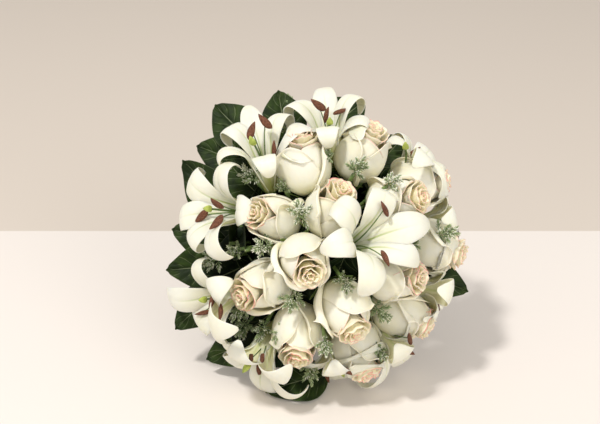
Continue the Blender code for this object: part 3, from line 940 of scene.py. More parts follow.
@dataclass
class Rose:
    """A furled rose: three outer petals, three within, and a ruffled mouth.

    Args:
        number: which rose it is.
        mouth: the middle of its mouth.
        lean: of its axis from the bouquet's.
        clock: of its axis.
        size: against the standard head.
        hand: which way round it wraps.
        edge: the way that its foremost over edge faces, in degrees round its axis.
        fold: how wide a strip of that edge rolls back, in millimetres.
        rows: how many rows of points its big petals have.
    """

    number: int
    mouth: Point
    lean: float
    clock: float
    size: float
    hand: Hand
    edge: float
    fold: float
    rows: int = 28

    def __post_init__(self) -> None:
        """Works out its seat and its outline, as radius, height and the slope's angle by length."""
        axis = heading(self.lean, self.clock)
        self.seat = Seat.along(np.array(self.mouth, float) - axis * ROSE_LENGTH * self.size, axis)
        self.random = np.random.default_rng(100 + self.number)
        curve = smooth_curve(ROSE_OUTLINE, 240)
        step = np.linalg.norm(np.diff(curve, axis=0), axis=1)
        self.length = np.concatenate([[0.0], np.cumsum(step)])
        slope = np.gradient(curve, axis=0)
        self.radius, self.height = curve.T
        self.slope = np.unwrap(np.arctan2(slope[:, 0], slope[:, 1]))

    def outline(self, at: Array) -> tuple[Array, Array, Array]:
        """Radius, height and slope of the bud's side at lengths along it."""
        return tuple(np.interp(at, self.length, values) for values in (self.radius, self.height, self.slope))

    def round_axis(self, radius: Array, height: Array, clock: Array) -> Array:
        """Points at a radius, height and clock angle about the bud's axis, in the bouquet's frame."""
        local = np.stack([radius * np.sin(clock), radius * np.cos(clock), height], axis=-1)
        return self.seat.place(local * self.size)

    def wraps(self) -> list[Wrap]:
        """The big petals, from the outermost in: three outer ones, then the three within.

        Returns:
            The petals.
        """
        hand = self.hand.value
        wraps = []
        for i in range(3):
            spread = 82.0 + self.random.uniform(-4, 4)
            first = i == 0
            wraps.append(Wrap(
                clock=self.edge + hand * spread + i * 120.0 + self.random.uniform(-6, 6) * (not first),
                reach=0.88 + self.random.uniform(-0.03, 0.03),
                spread=spread,
                narrow=0.60 + self.random.uniform(-0.08, 0.08),
                under=0.8,
                tuck=2.6,
                roll=7.0,
                curl=70.0 + 40.0 * first + self.random.uniform(-15, 15),
                fold=self.fold if first else self.random.uniform(2.5, 5.0),
                blush=0.12 * self.random.random(),
            ))
        for i in range(3):
            wraps.append(Wrap(
                clock=self.edge + hand * 30.0 + i * 120.0 + self.random.uniform(-10, 10),
                reach=0.94 + self.random.uniform(-0.03, 0.02),
                spread=74.0,
                narrow=0.82,
                under=4.4,
                tuck=1.6,
                roll=5.0,
                curl=60.0 + self.random.uniform(-12, 20),
                fold=2.0,
                blush=0.45,
            ))
        return wraps

    def wrap_grid(self, wrap: Wrap) -> tuple[Array, Array, Array]:
        """One big petal.

        Its side runs up the bud's outline, a little inside it, to an edge that is lower at the
        corners than in the middle. The slope's angle grows by the curl over the last part, and the
        sines and cosines of the slope, summed, give the radius and the height. A strip along its
        over edge rolls back on a small circle: the sine of the turn carries it round the bud, and
        one less the cosine lifts it off.

        Args:
            wrap: the petal's measures.

        Returns:
            The points, and how far across and along each lies.
        """
        hand = self.hand.value
        over = np.concatenate([np.linspace(-1.0, FOLD_FROM, 16)[:-1], np.linspace(FOLD_FROM, 1.0, 19)])
        x = (over if hand < 0 else -over[::-1])[None, :]
        over = -hand * x
        y = np.linspace(0.0, 1.0, self.rows)[:, None]
        wave = self.random.uniform(0, 6.28, 3)
        top = self.length[-1] * wrap.reach * (1.0 - 0.17 * np.abs(x) ** 2.8)
        top = top + 0.8 * np.sin(4.0 * x + wave[0])
        at = WRAP_START + (top - WRAP_START) * y
        middle = 0.5 * (at[1:] + at[:-1])
        curl = math.radians(wrap.curl) * (1.0 + 0.35 * np.sin(3.1 * x + wave[1]))
        bend = curl * np.clip((middle - top + wrap.roll) / wrap.roll, 0.0, 1.0) ** 1.3
        slope = self.outline(middle)[2] + bend
        base_radius, base_height, _ = self.outline(at[:1])
        step, none = np.diff(at, axis=0), np.zeros_like(x)
        radius = base_radius + np.vstack([none, np.cumsum(np.sin(slope) * step, axis=0)])
        height = base_height + np.vstack([none, np.cumsum(np.cos(slope) * step, axis=0)])
        lean = self.outline(at)[2]
        inset = wrap.under + wrap.tuck * 0.5 * (1.0 - over)
        width = 0.75 + 0.25 * np.sin(0.5 * math.pi * np.clip(y / 0.3, 0, 1))
        width = width * (1.0 - (1.0 - wrap.narrow) * ease(y, 0.35, 1.0))
        reach = math.radians(wrap.spread) * width * np.maximum(self.outline(at)[0], 4.0)
        strip = wrap.fold * ease(y, 0.12, 0.5) * (1.0 + 0.15 * np.sin(5.0 * y + wave[2])) + 0.01
        bow = 3.0 + 0.5 * np.sin(4.0 * y + wave[0])
        turn = np.maximum(over * reach - (reach - strip), 0.0) / bow
        lifted = bow * (1.0 - np.cos(turn)) - inset
        drawn = np.minimum(over * reach, reach - strip) + bow * np.sin(turn)
        radius = np.maximum(radius + lifted * np.cos(lean), 0.6)
        height = height - lifted * np.sin(lean) * 0.6
        clock = math.radians(wrap.clock) - hand * drawn / np.maximum(self.outline(at)[0], 4.0)
        clock = clock + 0.03 * np.sin(5 * y + wave[2])
        return self.round_axis(radius, height, clock), *np.broadcast_arrays(x, y)

    def ruffle_grid(self, ring: Ruffles, middle: float, spread: float) -> tuple[Array, Array, Array]:
        """One small petal of the mouth.

        It widens from its root to its rim, which leans out and waves in and out and up and down
        with the sum of two sines of the clock angle.

        Args:
            ring: the ring that it belongs to.
            middle: the way that it faces, in radians.
            spread: half its width, in radians.

        Returns:
            The points, and how far across and along each lies.
        """
        x = np.linspace(-1.0, 1.0, 22)[None, :]
        y = np.linspace(0.0, 1.0, 10)[:, None]
        clock = middle + spread * x + 0.0 * y
        wave = self.random.uniform(0, 6.28, 4)
        pitch = 3.0 + 7.0 / ring.radius
        ripple = np.sin(pitch * clock + wave[0]) + 0.55 * np.sin(2.3 * pitch * clock + wave[1])
        lift = np.sin(0.8 * pitch * clock + wave[2]) + 0.5 * np.sin(2.1 * pitch * clock + wave[3])
        radius = ring.radius * (0.74 + 0.26 * y**1.3) + 0.5 * self.hand.value * x
        radius = radius + ring.flare * y**4 + ring.wave * 0.6 * ripple * y**2.5
        height = ROSE_LENGTH + ring.height - ring.depth * (1.0 - y)
        height = height + (0.7 * ring.wave * lift - 2.6 * np.abs(x) ** 3) * y**2
        return self.round_axis(radius, height, clock), *np.broadcast_arrays(x, y)

    def calyx(self, work: Patchwork, slot: int) -> None:
        """The swollen end of the stem and the five sepals that clasp the bud.

        Args:
            work: the mesh to add to.
            slot: the sepals' material's place in the piece's list.
        """
        turn = np.array([(0.0, -6.5), (2.2, -6.0), (3.4, -3.0), (5.6, 0.0), (7.0, 1.6)])
        profile = smooth_curve(turn, 12)
        middle = np.zeros(len(profile))
        path = self.seat.place(np.stack([middle, middle, profile[:, 1]], axis=1) * self.size)
        work.tube(path, profile[:, 0] * self.size, 12, slot=slot)
        x = np.linspace(-1.0, 1.0, 7)[None, :]
        y = np.linspace(0.0, 1.0, 12)[:, None]
        for i in range(5):
            at = WRAP_START + SEPAL_LENGTH * y + 0 * x
            radius, height, slope = self.outline(at)
            lift = 0.9 + 2.2 * y**3
            half = np.radians(150.0) * 3.6 * (1.0 - y) ** 0.6 / np.maximum(radius, 6.0) * 0.42 + 0.01
            clock = math.radians(72.0 * i + self.edge) + x * half
            grid = self.round_axis(radius + lift * np.cos(slope), height - lift * np.sin(slope), clock)
            work.sheet(grid, 0.6, (x, y), slot=slot)

    def build(self, finishes: Finishes) -> bpy.types.Object:
        """Makes the rose and lets it stand for its solid.

        Args:
            finishes: the bouquet's materials.

        Returns:
            The rose.
        """
        work = Patchwork()
        for wrap in self.wraps():
            grid, x, y = self.wrap_grid(wrap)
            thickness = 1.15 - 0.35 * np.abs(x) ** 3 - 0.3 * y**4
            work.sheet(grid, thickness * self.size, (x, y), (wrap.blush * ease(y, 0.45, 0.95), 0.0))
        for i, ring in enumerate(RUFFLES):
            offset = self.random.uniform(0, 6.28)
            for k in range(ring.count):
                middle = offset + 2.0 * math.pi * k / ring.count
                grid, x, y = self.ruffle_grid(ring, middle, 1.25 * math.pi / ring.count)
                depth = np.clip(0.6 + 0.13 * i, 0, 1) * (1.0 - 0.35 * y**2)
                blush = 0.2 + 0.8 * self.random.random()
                work.sheet(grid, 0.7, (x, y), (blush, depth))
        self.calyx(work, 1)
        name = f"rose_{self.number:02d}"
        made = work.piece(name + "_bloom", [finishes.rose, finishes.sepal])
        return stand_for(made, "rose_petal", name)


LILY_LENGTH = 98.0
LILY_HEART = 25.0
TRUMPET_RADIUS = 4.0
TRUMPET_ANGLE = 14.0
PETAL_HALF = 15.0
THROAT_HALF = 5.0
PETAL_START = 0.32  # share of a petal's length that is part of the trumpet
PETAL_WIDEST = 0.45  # share of its free length where it is widest
PETAL_TAPER = 0.565  # share of it over which it would narrow to nothing, a little past the tip
HOOK_START = 0.6  # share of its length where its tip begins to roll in further
HOOK_FROM, HOOK_FULL = 85.0, 135.0  # a tip's angle without a hook, and one with all of it
FILAMENT_FOOT, STYLE_FOOT = 15.0, 12.0  # how far up the axis they leave the trumpet
ANTHER_REACH, ANTHER_GIRTH = 9.4, 3.1  # half an anther's length, and its greatest radius


@dataclass(frozen=True)
class Stamen:
    """A filament with what it carries: its clock and lean about the lily's axis, and its length."""

    clock: float
    lean: float
    length: float


def outside_roses(points: Array, margin: float) -> Array:
    """Moves points away from the axis of any rose that they lie in, out to a margin beyond it.

    Args:
        points: in the bouquet's frame.
        margin: in millimetres.

    Returns:
        The points, moved.
    """
    for rose in ROSES:
        local = rose.seat.local(points)
        radius = np.hypot(local[:, 0], local[:, 1])
        wall = np.interp(local[:, 2] / rose.size, rose.height, rose.radius, left=-99.0, right=-99.0)
        push = np.maximum(wall * rose.size + margin - radius, 0.0) / np.maximum(radius, 1.0)
        local[:, :2] *= 1.0 + push[:, None]
        points = rose.seat.place(local)
    return points


def above_table(points: Array, clearance: float) -> Array:
    """Lifts points that would lie below the table."""
    height = HUB[2] + points @ UP
    return points + np.outer(np.maximum(clearance - height, 0.0), UP)


@dataclass
class Lily:
    """A lily: six petals that stand as a trumpet and then roll back, with its stamens and pistil.

    Args:
        number: which lily it is.
        heart: the middle of its throat.
        lean: of its axis from the bouquet's.
        clock: of its axis.
        petals: for each, its clock, its tip's angle, the share where the roll begins, its length.
        stamens: the filaments with anthers.
        pistil: the style with its stigma.
        breadth: its petals' width against the widest.
        hook: how much further the tips roll in than the rest of the petal, in degrees.
    """

    number: int
    heart: Point
    lean: float
    clock: float
    petals: Sequence[tuple[float, float, float, float]]
    stamens: Sequence[Stamen]
    pistil: Stamen
    breadth: float = 0.85
    hook: float = 75.0

    def __post_init__(self) -> None:
        """Works out its seat."""
        axis = heading(self.lean, self.clock)
        self.seat = Seat.along(np.array(self.heart, float) - axis * LILY_HEART, axis)
        self.random = np.random.default_rng(300 + self.number)

    def petal(
        self, azimuth: float, tip: float, knee: float, scale: float, inner: bool
    ) -> tuple[Array, Array, Array]:
        """One petal.

        The tangent of its middle leans by the trumpet's angle as far as the knee, then more and
        more up to the tip's angle and the hook, and its sine and cosine, summed, give radius and
        height. Across, it is a parabola that hugs the trumpet at the foot and bows back further on.

        Args:
            azimuth: the way that it faces about the axis, in degrees.
            tip: the angle that its middle reaches at the tip.
            knee: the share of the length where the roll begins.
            scale: its length against the standard petal.
            inner: whether it is one of the three that lie inside the others.

        Returns:
            The points in the bouquet's frame, how far across in millimetres, and how far along.
        """
        length = LILY_LENGTH * scale
        share = np.linspace(0.0, 1.0, 160)
        rolled = np.clip((share - knee) / (1.0 - knee), 0.0, 1.0)
        held = np.clip((tip - HOOK_FROM) / (HOOK_FULL - HOOK_FROM), 0.0, 1.0)
        hook = self.hook * held * (0.75 + 0.5 * self.random.random()) * ease(share, HOOK_START, 1.0)
        lean = np.radians(TRUMPET_ANGLE + (tip - TRUMPET_ANGLE) * rolled**1.1 + hook)
        middle = 0.5 * (lean[1:] + lean[:-1])
        step = length / (len(share) - 1)
        radius = TRUMPET_RADIUS + np.concatenate([[0.0], np.cumsum(np.sin(middle) * step)])
        height = np.concatenate([[0.0], np.cumsum(np.cos(middle) * step)])

        x = np.linspace(-1.0, 1.0, 17)[None, :]
        y = np.linspace(0.0, 1.0, 44)[:, None]
        at = 0.03 + 0.97 * y
        r, z, slope = (np.interp(at, share, values) for values in (radius, height, lean))
        free = np.clip((at - PETAL_START) / (1.0 - PETAL_START), 0.0, 1.0)
        swell = np.sin(0.5 * math.pi * np.clip(free / PETAL_WIDEST, 0, 1))
        swell = THROAT_HALF + (PETAL_HALF - THROAT_HALF) * swell
        taper = np.cos(0.5 * math.pi * np.clip((free - PETAL_WIDEST) / PETAL_TAPER, 0, 1)) ** 0.7
        trumpet = np.minimum(3.4 + r * 0.45, THROAT_HALF + 3.0)
        blade = np.maximum(swell, trumpet * ease(free, 0.25, 0.0))
        half = np.maximum(np.where(at < PETAL_START, trumpet, blade) * taper, 0.35)
        half = half * self.breadth * (0.90 if inner else 1.0)
        out = np.array([math.sin(math.radians(azimuth)), math.cos(math.radians(azimuth)), 0.0])
        side = np.array([out[1], -out[0], 0.0])
        up = np.array([0.0, 0.0, 1.0])
        normal = -np.cos(slope)[..., None] * out + np.sin(slope)[..., None] * up
        reach = x * half
        hug = 0.5 / np.maximum(r + 1.0, 5.0) * ease(at, 0.46, 0.26) - 0.018 * ease(at, 0.42, 0.7)
        phase = self.random.uniform(0, 6.28, 2)
        ripple = 1.3 * np.abs(x) ** 2.5 * np.sin(9.0 * at + phase[0] + 1.2 * np.sign(x))
        ripple = ripple * np.sin(math.pi * at) ** 1.2
        groove = -0.9 * np.exp(-((reach / 1.5) ** 2)) * ease(at, 0.95, 0.3)
        fold = 0.05 * np.abs(reach) * np.sin(math.pi * np.clip(free, 0, 1))
        rise = hug * reach**2 + ripple + groove + fold + (0.9 if inner else 0.0) * ease(at, 0.5, 0.2)
        sway = 2.0 * np.sin(2.2 * at + phase[1]) * ease(at, 0.4, 1.0)
        points = r[..., None] * out + z[..., None] * up + (reach + sway)[..., None] * side
        points = points + rise[..., None] * normal
        shape = points.shape
        seated = self.seat.place(points.reshape(-1, 3))
        loose = outside_roses(seated, 1.5)
        eased = np.broadcast_to(ease(free, 0.0, 0.12), shape[:2]).reshape(-1, 1)
        seated = above_table(seated + (loose - seated) * eased, 0.7)
        return seated.reshape(shape), np.broadcast_to(reach, shape[:2]), np.broadcast_to(at, shape[:2])

    def strand(self, stamen: Stamen, foot: float) -> Array:
        """The line of a filament or of the style.

        It is the quadratic curve that leaves along the axis and bends out to its own direction.

        Args:
            stamen: the filament or the style.
            foot: how far up the axis it leaves the trumpet.

        Returns:
            Its points, in the bouquet's frame.
        """
        direction = heading(stamen.lean, stamen.clock)
        end = direction * stamen.length
        start = np.array([direction[0] * 4.0, direction[1] * 4.0, foot])
        bend = np.array([direction[0] * 6.0, direction[1] * 6.0, foot + 0.5 * (end[2] - foot)])
        t = np.linspace(0.0, 1.0, 14)[:, None]
        return self.seat.place(start * (1 - t) ** 2 + bend * 2 * t * (1 - t) + end * t**2)

    def anther(self, work: Patchwork, line: Array, slot: int) -> None:
        """An anther that hangs across the end of its filament: a spindle with a furrow down it.

        Args:
            work: the mesh to add to.
            line: the filament's line.
            slot: the anther's material's place in the piece's list.
        """
        end, along = line[-1], unit(line[-1] - line[-2])
        aside = unit(np.cross(along, self.random.normal(size=3)))
        way = unit(along * self.random.uniform(0.5, 1.0) + aside * self.random.uniform(0.3, 0.8))
        t = np.linspace(-1.0, 1.0, 15)
        bow = unit(np.cross(way, aside)) * 0.9
        path = end + way * (t * ANTHER_REACH)[:, None] + bow * (1.0 - t**2)[:, None]
        turn = np.linspace(0.0, 2.0 * math.pi, 14, endpoint=False)
        body = ANTHER_GIRTH * (1.0 - t**2) ** 0.75 * (1.0 - 0.35 * t) + 0.06
        furrow = np.exp(-((np.minimum(turn, 6.28 - turn) / 0.35) ** 2))
        section = 0.92 + 0.30 * np.cos(2.0 * turn) - 0.20 * furrow
        work.tube(path, body[:, None] * section[None, :], 14, slot=slot)

    def build(self, finishes: Finishes) -> bpy.types.Object:
        """Makes the lily and lets it stand for its solid.

        Args:
            finishes: the bouquet's materials.

        Returns:
            The lily.
        """
        work = Patchwork()
        for i, (azimuth, tip, knee, scale) in enumerate(self.petals):
            grid, reach, at = self.petal(azimuth, tip, knee, scale, i % 2 == 1)
            thickness = 1.3 - 0.45 * ease(np.abs(reach), 4.0, 15.0) - 0.35 * at**3
            work.sheet(grid, thickness, (reach, at))
        for stamen in self.stamens:
            line = self.strand(stamen, FILAMENT_FOOT)
            work.tube(line, np.linspace(0.75, 0.5, len(line)), 7, slot=1)
            self.anther(work, line, 2)
        line = self.strand(self.pistil, STYLE_FOOT)
        work.tube(line, np.linspace(1.15, 0.9, len(line)), 8, slot=1)
        tip = unit(line[-1] - line[-2])
        t = np.linspace(0.0, 1.0, 13)
        turn = np.linspace(0.0, 2.0 * math.pi, 15, endpoint=False)
        knob = 0.8 + 2.3 * np.sin(math.pi * t**0.8) ** 0.8 - 0.65 * t
        lobes = 1.0 + 0.28 * np.cos(3.0 * turn)
        work.tube(line[-1] + tip * (t * 12.0 - 5.0)[:, None], knob[:, None] * lobes[None, :], 15, slot=3)
        t = np.linspace(-7.0, 5.0, 10)
        foot = self.seat.place(np.stack([0 * t, 0 * t, t], axis=1))
        work.tube(foot, 2.2 + 2.6 * ease(t, -7.0, 3.0), 12, slot=1)
        name = f"lily_{self.number:02d}"
        made = work.piece(
            name + "_bloom", [finishes.lily, finishes.filament, finishes.anther, finishes.stigma]
        )
        return stand_for(made, "lily_petal", name)


def stand_for(made: bpy.types.Object, slot: str, *nodes: str) -> bpy.types.Object:
    """Fixes a piece to the bouquet, in place of some of its solids if any are named.

    Args:
        made: the piece.
        slot: not used.
        nodes: the solids that it stands for.

    Returns:
        The piece.
    """
    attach(made, "root")
    if nodes:
        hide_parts(*nodes)
    return made


@dataclass
class Leaf:
    """A broad pointed leaf.

    Args:
        name: the piece's name.
        root: where its stalk meets it.
        tip: its tip.
        width: its greatest width.
        face: the direction that its upper face points to.
        seed: sets its waves.
        node: the solid that it stands for, if it has one.
        curl: how far its tip curls up, in millimetres.
        dark: whether it lies in the depth of the bunch, with the darker finish of painted shade.
    """

    name: str
    root: Point
    tip: Point
    width: float
    face: Array
    seed: int
    node: str = ""
    curl: float = 0.0
    dark: bool = False

    def grid(self) -> tuple[Array, Array, Array]:
        """The blade.

        It is arched along its midrib, folded up at the edges, waved along them and quilted between
        its veins.

        Returns:
            The points, and how far across and along each lies.
        """
        random = np.random.default_rng(500 + self.seed)
        root, tip = np.array(self.root, float), np.array(self.tip, float)
        length = np.linalg.norm(tip - root)
        along = (tip - root) / length
        face = unit(self.face - along * (self.face @ along))
        side = np.cross(along, face)
        x = np.linspace(-1.0, 1.0, 13 if self.dark else 25)[None, :]
        y = np.linspace(0.0, 1.0, 18 if self.dark else 34)[:, None]
        swell = np.sin(math.pi * np.clip(y * 0.985, 0, 1) ** 0.75)
        half = 0.5 * self.width * (0.06 + 0.94 * swell) * (1.0 - 0.9 * ease(y, 0.93, 1.0)) + 0.25
        wave = random.uniform(0, 6.28, 3)
        rise = 0.08 * length * np.sin(math.pi * y) + 0.16 * np.abs(x) * half
        flutter = 1.6 * np.abs(x) ** 2 * np.sin(7.5 * y + wave[0] + 1.4 * np.sign(x))
        rise = rise + flutter * np.sin(math.pi * y)
        quilt = np.abs(((VEINS * y - VEIN_SLANT * np.abs(x) ** VEIN_BOW) % 1.0) - 0.5)
        rise = rise + 0.5 * ease(quilt, 0.0, 0.4) * ease(np.abs(x), 0.02, 0.3) * ease(np.abs(x), 1.0, 0.8)
        rise = rise - 0.9 * np.exp(-((x * half / 1.3) ** 2)) + self.curl * ease(y, 0.75, 1.0) ** 2
        reach = x * half * (1.0 + 0.02 * np.sin(11.0 * y + wave[1])) + 1.5 * np.sin(2.5 * y + wave[2])
        points = (
            root
            + (length * y * np.ones_like(x))[..., None] * along
            + reach[..., None] * side
            + rise[..., None] * face
        )
        lifted = above_table(points.reshape(-1, 3), 0.5).reshape(points.shape)
        return lifted, np.broadcast_to(x, rise.shape), np.broadcast_to(y, rise.shape)

    def build(self, finishes: Finishes) -> bpy.types.Object:
        """Makes the leaf and lets it stand for its solid, if it has one.

        Args:
            finishes: the bouquet's materials.

        Returns:
            The leaf.
        """
        work = Patchwork()
        grid, x, y = self.grid()
        work.sheet(grid, 0.75 - 0.25 * np.abs(x), (x, y), (0.35 + 0.65 * ((self.seed * 7) % 5) / 4, 0.0))
        # The deep leaves take the darker copy of the leaf finish: painted shade.
        made = work.piece(self.name, [finishes.painted_shade_leaf if self.dark else finishes.leaf])
        return stand_for(made, "leaf", *([self.node] if self.node else []))


NEEDLE_RADII = ((0.08, 0.36), (0.6, 0.66))  # shares of a needle's length, with its radius there


@dataclass
class Sprig:
    """A tuft of fine needles on short twigs.

    Args:
        name: the piece's name.
        middle: the tuft's middle.
        radius: how far its needles reach.
        frost: how many of its needles are pale.
        seed: sets its directions.
        node: the solid that it stands for, if it has one.
        twigs: how many twigs it has.
        needles: how many needles each twig has.
    """

    name: str
    middle: Point
    radius: float
    frost: float
    seed: int
    node: str = ""
    twigs: int = 10
    needles: int = 16

    def build(self, finishes: Finishes) -> bpy.types.Object:
        """Makes the sprig and lets it stand for its solid, if it has one.

        Twigs stand at golden angles up a stem, and needles at golden angles up each twig, leaning
        further forward and getting shorter towards its end.

        Args:
            finishes: the bouquet's materials.

        Returns:
            The sprig.
        """
        random = np.random.default_rng(700 + self.seed)
        middle = np.array(self.middle, float)
        axis = unit(middle)
        seat = Seat.along(middle, axis)
        work = Patchwork()
        stem = np.linspace(-self.radius, 0.35 * self.radius, 6)
        path = seat.place(np.stack([0 * stem, 0 * stem, stem], axis=1))
        work.tube(path, np.linspace(0.8, 0.35, 6), 6, slot=0)
        starts, ways, reach, frosts = [], [], [], []
        for i in range(self.twigs):
            share = i / (self.twigs - 1)
            turn = GOLDEN * i + random.uniform(-0.3, 0.3)
            lean = math.radians(80.0 - 66.0 * share + random.uniform(-8, 8))
            way = np.array([math.sin(lean) * math.sin(turn), math.sin(lean) * math.cos(turn), math.cos(lean)])
            foot = np.array([0.0, 0.0, self.radius * (-0.55 + 0.75 * share)])
            long = self.radius * random.uniform(0.75, 1.0)
            ends = foot + way * long * np.linspace(0, 1, 5)[:, None]
            work.tube(seat.place(ends), np.linspace(0.42, 0.2, 5), 5, slot=0)
            t = np.linspace(0.18, 1.0, self.needles)[:, None]
            spin = GOLDEN * np.arange(self.needles)[:, None] + turn
            first = unit(np.cross(way, [0.3, 0.5, 0.8]))
            second = np.cross(way, first)
            open_angle = np.radians(52.0 - 34.0 * t)
            aside = first * np.cos(spin) + second * np.sin(spin)
            aim = way * np.cos(open_angle) + aside * np.sin(open_angle)
            starts.append(foot + way * long * t * 0.92)
            ways.append(aim)
            reach.append(self.radius * (0.46 - 0.16 * t[:, 0]) * random.uniform(0.85, 1.15, self.needles))
            frosts.append((random.random(self.needles) < self.frost * (0.4 + 0.6 * share)).astype(float))
        self.add_needles(work, seat, *(np.concatenate(part) for part in (starts, ways, reach, frosts)))
        made = work.piece(self.name, [finishes.needle])
        return stand_for(made, "needle", *([self.node] if self.node else []))

    @staticmethod
    def add_needles(
        work: Patchwork, seat: Seat, start: Array, way: Array, reach: Array, frost: Array
    ) -> None:
        """Adds all needles at once, each a three-sided spindle.

        Args:
            work: the mesh to add to.
            seat: the sprig's seat.
            start: where each needle leaves its twig.
            way: its direction.
            reach: its length.
            frost: 1 for a pale one.
        """
        first = unit(np.cross(way, [0.2, -0.7, 0.4]))
        second = np.cross(way, first)
        turn = np.linspace(0, 2 * math.pi, 3, endpoint=False)
        cosine, sine = np.cos(turn)[None, :, None], np.sin(turn)[None, :, None]
        ring = first[:, None, :] * cosine + second[:, None, :] * sine
        tip = start + way * reach[:, None]
        low, high = (
            start[:, None, :] + ring * radius + way[:, None, :] * (reach * share)[:, None, None]
            for share, radius in NEEDLE_RADII
        )
        points = np.concatenate([start[:, None, :], low, high, tip[:, None, :]], axis=1)
        step = 8 * np.arange(len(start))[:, None, None]
        fans = np.array([[0, 2, 1], [0, 3, 2], [0, 1, 3], [7, 4, 5], [7, 5, 6], [7, 6, 4]])
        walls = np.array([[1, 2, 5, 4], [2, 3, 6, 5], [3, 1, 4, 6]])
        along = np.tile([0.0, 0.1, 0.1, 0.1, 0.6, 0.6, 0.6, 1.0], len(start))
        where = np.stack([0 * along, along, np.ones_like(along)], axis=1)
        shade = np.repeat((np.arange(len(start)) % 7) / 6.0, 8)
        look = np.stack([0 * along, np.repeat(frost, 8), shade], axis=1)
        faces = [(fans + step).reshape(-1, 3), (walls + step).reshape(-1, 4)]
        work.add(seat.place(points.reshape(-1, 3)), faces, where, look, 0)


BAND_SIDES = 72  # how many sides a wound band's sleeve has


